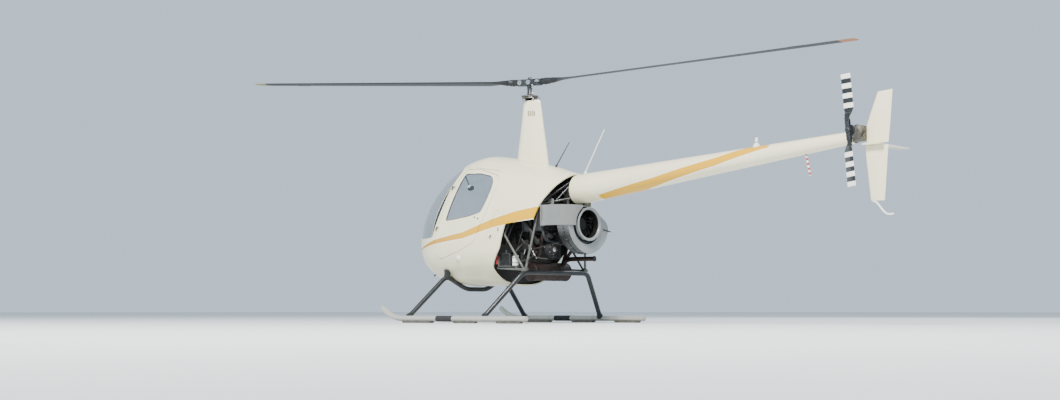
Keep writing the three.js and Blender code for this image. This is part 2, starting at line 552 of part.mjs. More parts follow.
// Landing gear
const SHOES = { spans: [[-800, -420], [-120, 240], [560, 1060]], half: 24, high: 40 };
const TOE = [[SKID.bend, 0], [SKID.bend + 160, 36], [SKID.bend + 290, 118]];   // x, rise
for (const [where, s] of [["left", 1], ["right", -1]]) {
  const y = s * SKID.y;
  const run = tube([[SKID.rear, y, SKID.z], ...TOE.map(([x, rise]) => [x, y, SKID.z + rise])], SKID.r, 12);
  const shoes = SHOES.spans.map(([a, b]) => box(a, b, y - SHOES.half, y + SHOES.half, 0, SHOES.high));
  add("skid_" + where, join(run, ...shoes), 0xb8b6ac, 0.45, 0.4);
}
const LEG = 26;
const GEAR = {
  front: { foot: 985, x: 870, y: 452, z: 520, middle: 376 },
  rear: { foot: -205, x: -396, y: 505, z: 546, middle: 546 },
};
const GEAR_MIDDLE = { half: 160, back: 20 };
function crossTube({ foot, x, y, z, middle }, r) {
  const low = (s) => [foot, s * (SKID.y - 3), SKID.z + 4];
  const across = [1, 0, -1].map((s) => [x - GEAR_MIDDLE.back, s * GEAR_MIDDLE.half, middle]);
  return tube([low(1), [x, y, z], ...across, [x, -y, z], low(-1)], r, 10);
}
const skidRuns = join(...[1, -1].map((s) => rod([-HIGH, s * SKID.y, SKID.z], [HIGH, s * SKID.y, SKID.z],
  SKID.r + GAP, 12)));
const bellySkin = bodySolid(-GAP).intersect(box(130, 1600, -FAR, FAR, 0, 900));
add("gear_front", crossTube(GEAR.front, LEG).subtract(skidRuns).subtract(bellySkin), 0x5b5d5e, 0.5, 0.5);
add("gear_rear", crossTube(GEAR.rear, LEG).subtract(skidRuns), 0x5b5d5e, 0.5, 0.5);

// Welded frame round the engine: from, to
const FRAME = [
  [[-370, 470, 582], [-75, 475, 960]],
  [[-395, 470, 580], [-500, 358, 1290]],
  [[-375, 470, 577], [70, 425, 600]],
  [[-370, -470, 582], [-75, -475, 960]],
  [[-395, -470, 580], [-500, -358, 1290]],
  [[-375, -470, 577], [70, -425, 600]],
  [[-500, 358, 1290], [-500, -358, 1290]],
  [[-500, 358, 1290], [-732, 100, 1530]],
  [[-500, -358, 1290], [-732, -100, 1530]],
  [[-500, 300, 1290], [-732, 100, 1348]],
  [[-500, -300, 1290], [-732, -100, 1348]],
  [[-75, 475, 960], [-75, 300, 1290]],
  [[-75, -475, 960], [-75, -300, 1290]],
  [[-75, 300, 1290], [-500, 358, 1290]],
  [[-75, -300, 1290], [-500, -358, 1290]],
  [[-75, 300, 1290], [-75, -300, 1290]],
];
const FRAME_R = 13;
const TRAY = { low: 612, top: 620, x0: -250, x1: 34, y0: 388, y1: 462 };
// Blocks that fill the joints where tubes meet: x, y, z, half sizes
const JOINTS = [
  [-387, 470, 573, 25, 16, 23],
  [-75, 475, 960, 15, 15, 14],
  [-500, 358, 1290.5, 14, 14, 13.5],
  [-75, 300, 1290, 15, 15, 14],
];
const block = ([x, y, z, u, v, w], s) => box(x - u, x + u, s * y - v, s * y + v, z - w, z + w);
const ENGINE = { rear: -590, front: -190, half: 118, low: 940, top: 1180, z: 1065 };
const BOOM_RING = { out: 150, hole: 122, front: -724 };
const MOUNT = { y: 80, half: 12, rear: -500, thick: 8, front: -75, z: 1290 };
const DUCT_Z = [1045, 1268];
const DUCT_STAY = { x0: -708, x1: -692, y0: 118, y1: 138, high: 1340 };
const mounts = [1, -1].flatMap((s) => [
  box(MOUNT.rear - MOUNT.thick, MOUNT.rear + MOUNT.thick, s * MOUNT.y - MOUNT.half,
    s * MOUNT.y + MOUNT.half, ENGINE.top + 0.3, MOUNT.z),
  box(MOUNT.front - MOUNT.thick, MOUNT.front + MOUNT.thick, s * MOUNT.y - MOUNT.half,
    s * MOUNT.y + MOUNT.half, MOUNT.z, GEARBOX.low - 0.3),
]);
const boomRoomRing = [circle([0, BOOM.z0], BOOM_RING.hole, 20)];
add("frame_tubes", join(
  ...FRAME.map(([a, b]) => rod(a, b, FRAME_R, 6)),
  ...[1, -1].flatMap((s) => JOINTS.map((joint) => block(joint, s))),
  disc(circle([0, BOOM.z0], BOOM_RING.out, 20), BOOM.x0 + GAP, BOOM_RING.front, boomRoomRing),
  plate([[TRAY.x0, TRAY.y0], [TRAY.x1, TRAY.y0], [TRAY.x1, TRAY.y1], [TRAY.x0, TRAY.y1]],
    TRAY.low, TRAY.top),
  box(TRAY.x0 + 4, TRAY.x0 + 28, TRAY.y1 - 32, TRAY.y1 - 4, 590, TRAY.low + 2),
  ...mounts,
  box(DUCT_STAY.x0, DUCT_STAY.x1, DUCT_STAY.y0, DUCT_STAY.y1, 1262.3, DUCT_STAY.high),
).subtract(box(-760, BOOM.x0 + GAP, -FAR, FAR, 1200, 1700)).subtract(crossTube(GEAR.rear, LEG + GAP)),
0x55585a, 0.5, 0.5);

// Engine: crankcase, sump and crankshaft, with two finned cylinders laid out to each side
const SUMP = { rear: -480, front: -240, half: 95, low: 860 };
const CRANK = { r: 30, rear: -682.7 };
const CYLINDER = { x: [-300, -478], from: 100, to: 360, r: 66 };
const COOLING = { from: 150, step: 45, count: 4, thick: 18, r: 80 };
const ROCKER = { half: 62, from: 330, to: 358, low: 990, high: 1140 };
// Pipe from the sump out and up into each cylinder's underside: y, z
const INTAKE = { route: [[80, 885], [190, 880], [290, 925], [310, 1010]], r: 20 };
// Port under the front cylinders, and the riser from the silencer that meets it
const EXHAUST = { x: -345, y: 220, half: 14, thick: 10, low: 950, high: 1040, r: 17 };
const MAGNETO = { rear: -612, front: -560, y: 62, z: 1194, r: 32 };
// Generator on the port side: x from, to, and radius of its body, then of its pulley
const GENERATOR = { y: 300, z: 790, turns: [[-640, -560, 62], [-662, -638, 48]] };
const GENERATOR_STAY = { from: [-570, 110, 950], to: [-600, 290, 810], r: 14 };

function cylinder(x, s) {
  const fins = Array.from({ length: COOLING.count }, (_, i) => {
    const y = s * (COOLING.from + i * COOLING.step);
    return rod([x, y, ENGINE.z], [x, y + s * COOLING.thick, ENGINE.z], COOLING.r, 10);
  });
  const [y0, y1] = [s * ROCKER.from, s * ROCKER.to].sort((a, b) => a - b);
  return join(
    rod([x, s * CYLINDER.from, ENGINE.z], [x, s * CYLINDER.to, ENGINE.z], CYLINDER.r, 10),
    box(x - ROCKER.half, x + ROCKER.half, y0, y1, ROCKER.low, ROCKER.high),
    tube(INTAKE.route.map(([y, z]) => [x, s * y, z]), INTAKE.r, 8),
    ...fins,
  );
}
const bothSides = [1, -1].flatMap((s) => [
  ...CYLINDER.x.map((x) => cylinder(x, s)),
  rod([MAGNETO.rear, s * MAGNETO.y, MAGNETO.z], [MAGNETO.front, s * MAGNETO.y, MAGNETO.z], MAGNETO.r, 10),
  box(EXHAUST.x - EXHAUST.thick, EXHAUST.x + EXHAUST.thick, s * EXHAUST.y - EXHAUST.half,
    s * EXHAUST.y + EXHAUST.half, EXHAUST.low, EXHAUST.high),
]);
const generator = GENERATOR.turns.map(([x0, x1, r]) => rod([x0, GENERATOR.y, GENERATOR.z],
  [x1, GENERATOR.y, GENERATOR.z], r, 14));
add("engine", join(
  box(ENGINE.rear, ENGINE.front, -ENGINE.half, ENGINE.half, ENGINE.low, ENGINE.top),
  box(SUMP.rear, SUMP.front, -SUMP.half, SUMP.half, SUMP.low, ENGINE.low),
  rod([CRANK.rear, 0, ENGINE.z], [ENGINE.rear + 10, 0, ENGINE.z], CRANK.r, 14),
  ...bothSides,
  ...generator,
  rod(GENERATOR_STAY.from, GENERATOR_STAY.to, GENERATOR_STAY.r, 8),
), 0x2b2c2e, 0.6, 0.4);

// Cooling fan in its scroll, and the duct that leaves it
// Outer edge of the scroll seen from behind, y and z
const VOLUTE = [[290, 1262], [290, 1060], [258, 950], [200, 862], [110, 790], [20, 752],
  [-77, 742], [-207, 795], [-313, 895], [-350, 1000], [-345, 1050], [-314, 1098], [-209, 1167],
  [-105, 1240], [-60, 1262]];
const SCROLL = { rear: -850, front: -684, wall: 6, y: -20, z: ENGINE.z, shaftHole: 60 };
// Round recess in the rear face, and the inlet that stands in it with a flared lip
const RECESS = { r: 216, rim: 12, depth: 34 };
const BELL = { bore: 165, r: 178, lip: 190, lipFrom: -878, rear: -896, root: -812 };
const onAxis = (x0, x1, r, r1) => rod([x0, SCROLL.y, SCROLL.z], [x1, SCROLL.y, SCROLL.z], r, 24, r1);
const recess = disc(inset(VOLUTE, RECESS.rim), SCROLL.rear - 10, SCROLL.rear + RECESS.depth)
  .intersect(onAxis(SCROLL.rear - 20, SCROLL.rear + RECESS.depth, RECESS.r));
const web = SCROLL.rear + RECESS.depth + SCROLL.wall;
add("fan_scroll", disc(VOLUTE, SCROLL.rear, SCROLL.front)
  .subtract(recess)
  .add(onAxis(BELL.root, BELL.lipFrom, BELL.r)).add(onAxis(BELL.lipFrom, BELL.rear, BELL.r, BELL.lip))
  .subtract(disc(inset(VOLUTE, SCROLL.wall), web, SCROLL.front - SCROLL.wall))
  .subtract(onAxis(BELL.rear - 10, BELL.root + 20, BELL.bore))
  .subtract(rod([SCROLL.front - 20, 0, SCROLL.z], [SCROLL.front + 20, 0, SCROLL.z], SCROLL.shaftHole, 20)),
0x8a8d8e, 0.5, 0.6);

const FAN = { rear: -802, plate: -712, front: -704, hub: 66, hubRear: -796, shaft: 28, from: 60, tip: 150,
  r: 155, half: 4, count: 10 };
const fanBlades = Array.from({ length: FAN.count }, (_, i) => box(FAN.rear, FAN.plate, FAN.from, FAN.tip,
  -FAN.half, FAN.half).rotate([(i * 360) / FAN.count, 0, 0]));
add("fan_wheel", join(
  disc(circle([0, 0], FAN.r, 20), FAN.plate, FAN.front),
  rod([FAN.hubRear, 0, 0], [CRANK.rear - GAP, 0, 0], FAN.shaft, 14),
  rod([FAN.hubRear, 0, 0], [FAN.front, 0, 0], FAN.hub, 16),
  ...fanBlades,
).translate([0, 0, SCROLL.z]), 0x2f3133, 0.5, 0.6);

// Plan of the duct: its outer side is one smooth bend, x and y of the four points that steer it
const DUCT = { outer: [[-848, 290.4], [-806, 396], [-650, 428], [-548, 396]], parts: 10,
  inner: [[-548, 350], [-600, 360], [-670, 336], [-682, 290.4]] };
const bend = new THREE.CubicBezierCurve(...DUCT.outer.map(([x, y]) => new THREE.Vector2(x, y)));
const ductPlan = [...bend.getPoints(DUCT.parts).map(({ x, y }) => [x, y]), ...DUCT.inner];
add("cooling_duct", plate(ductPlan, ...DUCT_Z), 0x9a9c9b, 0.5, 0.5);

// Belt drive and shafts
const SHEAVE = { x0: -672, x1: -622, low: 84, high: 112, shaft: 20, shaftRear: -1100 };
add("lower_sheave", rod([SHEAVE.x0, 0, ENGINE.z], [SHEAVE.x1, 0, ENGINE.z], SHEAVE.low, 20)
  .subtract(rod([SHEAVE.x0 - 20, 0, ENGINE.z], [SHEAVE.x1 + 20, 0, ENGINE.z], CRANK.r + GAP, 14)),
0x707274, 0.4, 0.8);
add("upper_sheave", join(
  rod([SHEAVE.x0, 0, BOOM.z0], [SHEAVE.x1, 0, BOOM.z0], SHEAVE.high, 20),
  rod([SHEAVE.shaftRear, 0, BOOM.z0], [GEARBOX.rear - GAP, 0, BOOM.z0], SHEAVE.shaft, 12),
), 0x707274, 0.4, 0.8);
// Round both wheels: two arcs and the straight runs that touch them, grown outwards
const BELT = { thick: 12, inset: 8, parts: 20, play: 0.6 };
function beltLoop(grow, x0, x1) {
  const low = SHEAVE.low + grow;
  const high = SHEAVE.high + grow;
  const lean = Math.asin((high - low) / (BOOM.z0 - ENGINE.z));
  const arc = (r, z, from, to) => Array.from({ length: BELT.parts + 1 }, (_, i) => {
    const a = from + ((to - from) * i) / BELT.parts;
    return [r * Math.cos(a), z + r * Math.sin(a)];
  });
  return disc([...arc(high, BOOM.z0, -lean, Math.PI + lean),
    ...arc(low, ENGINE.z, Math.PI + lean, 2 * Math.PI - lean)], x0, x1);
}
add("drive_belts", beltLoop(BELT.thick, SHEAVE.x0 + BELT.inset, SHEAVE.x1 - BELT.inset)
  .subtract(beltLoop(BELT.play, SHEAVE.x0 - 20, SHEAVE.x1 + 20)), 0x18181a, 0.8, 0);

// Loose items in the bay
const COOLER = { x0: -140, x1: 24, y0: 400, y1: 450, high: 760 };
const CANISTER = { x: -196, y: 425, r: 34, high: 745 };
const ON_TRAY = TRAY.top + 0.3;
add("oil_cooler", box(COOLER.x0, COOLER.x1, COOLER.y0, COOLER.y1, ON_TRAY, COOLER.high),
  0x6f7376, 0.5, 0.6);
add("canister", rod([CANISTER.x, CANISTER.y, ON_TRAY], [CANISTER.x, CANISTER.y, CANISTER.high],
  CANISTER.r, 14), 0xc4c5c0, 0.5, 0.2);
const SILENCER = { x: -277, z: 560, r: 102, half: 285, wall: 5 };
const TAILPIPE = { run: [[-300, -200, 610], [-470, -200, 700], [-785, -200, 698]], r: 26, bore: 22 };
const across = (half, r) => rod([SILENCER.x, -half, SILENCER.z], [SILENCER.x, half, SILENCER.z], r, 16);
const tailpipeRoom = [...TAILPIPE.run.slice(0, 2), [-800, -200, 698]];
add("muffler", join(
  across(SILENCER.half, SILENCER.r),
  tube(TAILPIPE.run, TAILPIPE.r),
  ...[1, -1].map((s) => rod([EXHAUST.x, s * EXHAUST.y, 600],
    [EXHAUST.x, s * EXHAUST.y, EXHAUST.low - 0.3], EXHAUST.r, 8)),
).subtract(across(SILENCER.half - SILENCER.wall, SILENCER.r - SILENCER.wall))
  .subtract(tube(tailpipeRoom, TAILPIPE.bore)), 0x4a342c, 0.7, 0.3);
add("air_box", box(SUMP.front + 0.3, -90, -240, 120, 700, 900), 0x33302e, 0.7, 0);

group.position.x = MAST_X;
group.updateMatrixWorld(true);
export default group;
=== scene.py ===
import bpy
import numpy as np
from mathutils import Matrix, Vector


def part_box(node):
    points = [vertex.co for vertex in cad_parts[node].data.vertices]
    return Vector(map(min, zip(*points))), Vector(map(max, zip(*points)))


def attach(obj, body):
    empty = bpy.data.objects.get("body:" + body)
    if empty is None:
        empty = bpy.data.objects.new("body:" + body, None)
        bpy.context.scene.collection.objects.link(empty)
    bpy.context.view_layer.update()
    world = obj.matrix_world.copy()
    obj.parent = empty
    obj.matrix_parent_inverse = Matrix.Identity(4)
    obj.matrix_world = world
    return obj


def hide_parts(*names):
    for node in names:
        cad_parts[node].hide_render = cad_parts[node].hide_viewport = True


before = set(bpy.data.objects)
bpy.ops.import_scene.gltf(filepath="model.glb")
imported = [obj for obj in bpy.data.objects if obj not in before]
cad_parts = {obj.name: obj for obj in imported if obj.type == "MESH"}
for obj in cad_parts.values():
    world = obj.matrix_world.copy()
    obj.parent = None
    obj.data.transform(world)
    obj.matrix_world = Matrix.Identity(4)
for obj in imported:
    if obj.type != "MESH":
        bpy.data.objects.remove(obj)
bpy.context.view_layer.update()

# Studio. A pale floor without an edge near the object, one broad warm lamp on the port side behind
# the viewer, two weak ones to open the shadows, and a camera near the floor that looks forward and
# to starboard, 45 degrees off the keel line. Places are millimetres from the foot of the rotor mast.
MAST_X = sum(corner.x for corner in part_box("swashplate")) / 2
FLOOR_HALF = 90.0
CAMERA = {"place": (-14.49, 14.79, 0.14), "aim": (0.0, 0.0, 1.36), "lens": 63.5, "reach": 300}
LAMPS = [("key", (-8.0, 12.0, 14.0), 5.0, 7600, (1.0, 0.965, 0.90)),
         ("front fill", (13.0, 9.0, 5.0), 8.0, 400, (0.95, 0.97, 1.0)),
         ("far rim", (2.0, -14.0, 9.0), 8.0, 900, (0.95, 0.97, 1.0))]
LAMP_AIM = (0, 0, 1.2)
SKY, SKY_STRENGTH = "BFD0E0", 1.3


def hue(code):
    """A paint colour written as six hex digits, turned from display values to linear light."""
    shown = np.array([int(code[i:i + 2], 16) for i in (0, 2, 4)]) / 255
    light = np.where(shown <= 0.04045, shown / 12.92, ((shown + 0.055) / 1.055) ** 2.4)
    return (*light.tolist(), 1.0)


class Value:
    """One socket of a finish; the operators below add the Math node that works them out."""

    def __init__(self, finish, socket):
        self.finish, self.socket = finish, socket

    def sum(self, operation, *terms):
        """A Math node of that operation, fed with the terms."""
        return self.finish.node("Math", {"operation": operation}, terms)

    def __add__(self, other):
        return self.sum("ADD", self, other)

    def __sub__(self, other):
        return self.sum("SUBTRACT", self, other)

    def __rsub__(self, other):
        return self.sum("SUBTRACT", other, self)

    def __mul__(self, other):
        return self.sum("MULTIPLY", self, other)

    def __truediv__(self, other):
        return self.sum("DIVIDE", self, other)

    def __gt__(self, other):
        return self.sum("GREATER_THAN", self, other)

    def __lt__(self, other):
        return self.sum("LESS_THAN", self, other)

    __radd__ = __add__
    __rmul__ = __mul__

    def past_whole(self):
        """What is left of the value above the whole number below it."""
        return self - self.sum("FLOOR", self)

    def held(self):
        """The value kept between 0 and 1."""
        return self.finish.node("Clamp", {}, [self, 0.0, 1.0])

    def step(self, edge, soft):
        """0 below edge and 1 above it, with a straight ramp as wide as soft."""
        return ((self - edge) / soft + 0.5).held()


class Finish:
    """A material: one Principled shader, nodes fed from places in the frame, and the record's slot.
    Sockets are named with an underscore for a space."""

    def __init__(self, name, slot, **sockets):
        self.material, self.slot = bpy.data.materials.new(name), slot
        self.material.use_nodes = True
        self.tree = self.material.node_tree
        self.shader = self.tree.nodes["Principled BSDF"]
        self.place = self.node("TexCoord", {}, {}, 3)
        self.x, self.y, self.z = (self.node("SeparateXYZ", {}, [self.place], i) for i in range(3))
        self.set(**sockets)

    def plug(self, socket, value):
        """The socket linked to a Value, or set to a plain number, colour or vector."""
        if isinstance(value, Value):
            self.tree.links.new(value.socket, socket)
        else:
            socket.default_value = value

    def set(self, **sockets):
        """The shader's sockets given values."""
        for name, value in sockets.items():
            self.plug(self.shader.inputs[name.replace("_", " ")], value)

    def node(self, kind, settings, inputs, out=0):
        """A node of that kind: settings first, then its sockets by number or name."""
        made = self.tree.nodes.new("ShaderNode" + kind)
        for key, value in settings.items():
            if key == "stops":
                stops = made.color_ramp.elements
                stops.remove(stops[1])
                stops[0].position, stops[0].color = value[0]
                for at, colour in value[1:]:
                    stops.new(at).color = colour
            else:
                setattr(made, key, value)
        for key, value in inputs.items() if isinstance(inputs, dict) else enumerate(inputs):
            self.plug(made.inputs[key], value)
        return Value(self, made.outputs[out])

    def vector(self, operation, *terms, out=0):
        """A Vector Math node of that operation, fed with the terms."""
        return self.node("VectorMath", {"operation": operation}, terms, out)

    def mix(self, share, a, b):
        """Colour a where share is 0 and b where it is 1."""
        return self.node("Mix", {"data_type": "RGBA"}, {0: share, 6: a, 7: b}, 2)

    def noise(self, scale, detail=3.0, stretch=(1, 1, 1)):
        """Cloudy values round 0.5, with scale in lumps per metre and stretch per axis."""
        at = self.node("Mapping", {}, {"Vector": self.place, "Scale": stretch})
        return self.node("TexNoise", {}, {"Vector": at, "Scale": scale, "Detail": detail})

    def line(self, along, rows):
        """A straight-line graph: the value at along, through rows of (along, value)."""
        rows = np.array(sorted(rows), float)
        first, last = rows[0], rows[-1]
        low, high = rows[:, 1].min(), rows[:, 1].max()
        stops = [((a - first[0]) / (last[0] - first[0]), (*[(v - low) / (high - low)] * 3, 1.0))
                 for a, v in rows]
        share = (along - first[0]) / (last[0] - first[0])
        return self.node("ValToRGB", {"stops": stops}, [share]) * (high - low) + low

    def bump(self, height, strength, distance=0.001):
        """Small relief that feeds the shader's Normal."""
        self.set(Normal=self.node("Bump", {}, {
            "Height": height, "Strength": strength, "Distance": distance}))
        return self


def paint(name, slot, tones, clouds, rough, relief=None, **sockets):
    """A finish that drifts between its tones in clouds (lumps per metre, detail). rough is the least
    roughness, how far it rises and its lumps; relief is lumps, detail, strength and height."""
    finish = Finish(name, slot, **sockets)
    tones = [hue(tone) for tone in tones.split()]
    finish.set(Base_Color=finish.mix(finish.noise(*clouds), *tones) if clouds else tones[0],
               Roughness=rough[0] + finish.noise(*rough[2:]) * rough[1] if rough[1:] else rough[0])
    return finish.bump(finish.noise(*relief[:2]), *relief[2:]) if relief else finish


floor_finish = paint("floor_screed", None, "D9DCDD E4E6E6", (0.8, 4), (0.75,))
corners = np.array([[-1, -1, 0], [1, -1, 0], [1, 1, 0], [-1, 1, 0]]) * FLOOR_HALF
floor_mesh = bpy.data.meshes.new("floor")
floor_mesh.from_pydata(corners.tolist(), [], [[0, 1, 2, 3]])
floor_mesh.materials.append(floor_finish.material)
floor = bpy.data.objects.new("floor", floor_mesh)
floor.location.z = -0.001
bpy.context.scene.collection.objects.link(floor)

world = bpy.data.worlds.new("studio")
world.use_nodes = True
background = world.node_tree.nodes["Background"].inputs
background["Color"].default_value, background["Strength"].default_value = hue(SKY), SKY_STRENGTH
bpy.context.scene.world = world


def aimed(made, place, aim):
    """The object put at place, looking along its own -Z at aim; both measured from the mast."""
    made.location = Vector(place) + Vector((MAST_X, 0, 0))
    made.rotation_euler = (Vector(aim) - Vector(place)).to_track_quat("-Z", "Y").to_euler()
    bpy.context.scene.collection.objects.link(made)
    return made


for name, place, size, power, colour in LAMPS:
    lamp = bpy.data.lights.new(name, "AREA")
    lamp.size, lamp.energy, lamp.color = size, power, colour
    aimed(bpy.data.objects.new(name, lamp), place, LAMP_AIM)

eye = bpy.data.cameras.new("camera")
eye.lens, eye.clip_end = CAMERA["lens"], CAMERA["reach"]
bpy.context.scene.camera = aimed(bpy.data.objects.new("camera", eye), CAMERA["place"], CAMERA["aim"])

# Cabin. Thin panels sprayed with cream gloss enamel, with a yellow band that rises and widens
# towards the rear. It is worked out as rounded sections along the body, hollow by its wall, with
# the doors, the screens, the engine bay and the mast hole cut from it.
WALL = 14
# x, z of the bottom, top and widest place, half width, roundness above and below
BODY = np.array([
    [1600, 850, 920, 875, 25, 2.0, 2.0],
    [1588, 775, 1030, 875, 135, 2.0, 2.0],
    [1550, 680, 1160, 875, 205, 2.0, 2.0],
    [1470, 592, 1315, 880, 290, 2.0, 2.05],
    [1330, 515, 1500, 890, 398, 2.0, 2.15],
    [1120, 440, 1665, 900, 488, 2.07, 2.3],
    [850, 415, 1805, 915, 540, 2.18, 2.5],
    [550, 410, 1868, 930, 560, 2.22, 2.6],
    [250, 410, 1838, 945, 560, 2.16, 2.6],
    [-60, 420, 1780, 960, 547, 2.1, 2.6],
    [-350, 470, 1720, 985, 505, 2.05, 2.4],
    [-620, 600, 1645, 1010, 440, 2.0, 2.2],
    [-800, 700, 1602, 1030, 392, 2.0, 2.1],
], float)
LAST_ROW = len(BODY) - 1
# Side views, x and z
DOOR = [(1014, 826), (985, 742), (897, 708), (600, 780), (322, 881), (232, 1056), (135, 1230),
        (75, 1450), (72, 1560), (133, 1628), (409, 1703), (655, 1722), (715, 1600), (765, 1480),
        (815, 1340), (880, 1200), (942, 1075), (1000, 955)]
SCREEN = [(1045, 958), (1250, 948), (1650, 970), (1650, 1900), (900, 1900), (740, 1690),
          (775, 1600), (822, 1480), (872, 1340), (935, 1200), (1000, 1070)]
ENGINE_BAY = [(-137, 1074), (-58, 813), (103, 603), (70, 300), (-900, 300), (-900, 1180),
              (-520, 1116)]
DOOR_CORNER, SCREEN_CORNER, BAY_CORNER = 45, 40, 30
SCREEN_POST = 14
COWL_JOIN = -100
MAST_HOLE = 50
BESIDE = 700
HULL_END = -1200
STRIPE_TOP = [(1500, 800), (1300, 858), (1011, 929), (491, 1002), (50, 1131), (-277, 1209), (-523, 1250)]
STRIPE_LOW = [(1500, 796), (1300, 838), (1008, 883), (488, 934), (40, 1039), (-291, 1093), (-509, 1125)]
STRIPE_ENDS = (-620, 1500)
CREAM, CREAM_OLD, OLIVE_SHADE = hue("F5EECB"), hue("EAE0B8"), hue("8E8B6C")
YELLOW, SHADED_GOLD, PALE_EDGE = hue("DEA800"), hue("C08C00"), hue("FBF7E6")
FORE, PORT, UP = np.eye(3)


def body_rows(s):
    """The section table at s, a smooth cubic through its rows (the tangent at a row is half the
    step between its neighbours)."""
    i = np.clip(s.astype(int), 0, LAST_ROW - 1)
    t = (s - i)[..., None]
    a, b, c, d = (BODY[np.clip(i + k, 0, LAST_ROW)] for k in (-1, 0, 1, 2))
    return b + t / 2 * (c - a + t * (2 * a - 5 * b + 4 * c - d + t * (3 * b - a - 3 * c + d)))


def body_points(s, angle):
    """The surface: y is half width times cos^(2/n) and z the height times sin^(2/n), each with its
    sign kept, and n is the roundness above or below the widest place."""
    x, low, top, widest, half, up, down = np.moveaxis(body_rows(s), -1, 0)
    c, e = np.cos(angle), np.sin(angle)
    power = 2 / np.where(e >= 0, up, down)
    high = np.where(e >= 0, top - widest, widest - low)
    return np.stack([x, half * np.sign(c) * np.abs(c) ** power,
                     widest + high * np.sign(e) * np.abs(e) ** power], -1)


def skin(rings, caps=True):
    """Rings of points (rings, around, 3) joined by quads, with a face over each end; all faces are
    turned outwards by the sign of the volume."""
    n, m = rings.shape[:2]
    points = rings.reshape(-1, 3)
    i, j = np.meshgrid(np.arange(n - 1), np.arange(m), indexing="ij")
    a, b = i * m + j, i * m + (j + 1) % m
    quads = np.stack([a, b, b + m, a + m], -1).reshape(-1, 4)
    ends = [np.arange(m)[::-1], np.arange(m) + (n - 1) * m]
    fans = [np.stack([np.full(m - 2, e[0]), e[1:-1], e[2:]], -1) for e in ends]
    p, q, r = points[np.concatenate([quads[:, :3], quads[:, [0, 2, 3]], *fans])].transpose(1, 0, 2)
    faces = quads.tolist() + ([e.tolist() for e in ends] if caps else [])
    inside_out = np.einsum("ij,ij->", p, np.cross(q, r)) < 0
    return points, [f[::-1] for f in faces] if inside_out else faces


def unit(vectors):
    """Vectors scaled to a length of 1, row by row."""
    return vectors / np.maximum(np.linalg.norm(vectors, axis=-1, keepdims=True), 1e-9)


def hull(depth, rear=None, step=0.1, around=96):
    """The body pushed in along its own normals by depth, as a solid; rear carries it on to that x."""
    s = np.arange(1.0 if depth > 0 else 0.0, LAST_ROW + 1e-6, step)
    angle = 2 * np.pi * (np.arange(around) + 0.5) / around
    s, angle = np.meshgrid(s, angle, indexing="ij")
    e = 0.02
    along = body_points(s + e, angle) - body_points(np.maximum(s - e, 0), angle)
    out = unit(np.cross(body_points(s, angle + e) - body_points(s, angle - e), along))
    out *= np.sign(out[..., 1] * np.cos(angle) + out[..., 2] * np.sin(angle))[..., None]
    rings = body_points(s, angle) - depth * out
    if rear is not None:
        rings = np.concatenate([rings, rings[-1:] * (0, 1, 1) + (rear, 0, 0)])
    return skin(rings)


def body_at(x):
    """The section table read at x: bottom, top, widest place, half width, roundness above and below."""
    rows = body_rows(np.linspace(0, LAST_ROW, 1500))[::-1]
    return [np.interp(x, rows[:, 0], rows[:, k]) for k in range(1, 7)]


def body_normals(points):
    """Unit directions square to the body at points near it: the slope of |y/half|^n + |z/height|^n."""
    def level(p):
        """1 on the body's surface, less inside it and more outside."""
        low, top, widest, half, up, down = body_at(p[:, 0])
        above = p[:, 2] >= widest
        power = np.where(above, up, down)
        high = np.where(above, top - widest, widest - low)
        return np.abs(p[:, 1] / half) ** power + np.abs((p[:, 2] - widest) / high) ** power

    steps = np.eye(3) * 1.5
    return unit(np.stack([level(points + d) - level(points - d) for d in steps], -1))


def bends(before, corners, after, parts):
    """Parabolas from before to after each corner, which they touch the sides of, row by row."""
    t = np.linspace(0, 1, parts)[None, :, None]
    return (1 - t) ** 2 * before[:, None] + 2 * t * (1 - t) * corners[:, None] + t ** 2 * after[:, None]


def rounded(outline, reach, parts=6):
    """An outline whose corners are cut back by reach and bent round as parabolas."""
    at = np.array(outline, float)
    near = []
    for way in (np.roll(at, 1, 0) - at, np.roll(at, -1, 0) - at):
        near.append(at + way * np.minimum(0.48, reach / np.linalg.norm(way, axis=1, keepdims=True)))
    return bends(near[0], at, near[1], parts).reshape(-1, 2)


def inset(outline, by):
    """An outline with every point moved in by `by` along the mean of its two sides' normals."""
    at = np.array(outline, float)
    side = unit(np.roll(at, -1, 0) - at)
    area = np.sum(at[:, 0] * np.roll(at[:, 1], -1) - np.roll(at[:, 0], -1) * at[:, 1])
    normal = np.stack([-side[:, 1], side[:, 0]], -1) * np.sign(area)
    mean = normal + np.roll(normal, 1, 0)
    reach = 2 / np.maximum(np.sum(mean * mean, 1, keepdims=True), 0.7)
    return at + mean * reach * by


def plate(outline, low, high, axis):
    """A flat outline carried straight along one axis, from low to high."""
    return skin(np.stack([np.insert(np.array(outline, float), axis, v, axis=1) for v in (low, high)]))


def side_plate(outline, side, near=200):
    """A side view carried outwards, from near beside the keel to well past the skin."""
    return plate(outline, *sorted((side * near, side * BESIDE)), 1)


def brick(x0, x1, y0, y1, z0, z1):
    """A block between six planes."""
    return plate([(x0, y0), (x1, y0), (x1, y1), (x0, y1)], z0, z1, 2)


def across(line):
    """Two directions square to a line and to each other."""
    side = unit(np.cross(line, np.eye(3)[np.argmin(np.abs(line))]))
    return side, np.cross(line, side)


def circle(sides):
    """Cosines and sines of even steps round a circle, as two columns."""
    angle = 2 * np.pi * np.arange(sides) / sides
    return np.cos(angle)[:, None], np.sin(angle)[:, None]


def lathe(start, way, profile, sides=32):
    """A turned part: rows of (distance, radius) carried round the line from start along way."""
    line = unit(np.array(way, float))
    side, other = across(line)
    c, s = circle(sides)
    rows = np.array(profile, float)
    return skin(np.array(start, float) + rows[:, :1, None] * line
                + np.maximum(rows[:, 1:, None], 0.01) * (c * side + s * other))


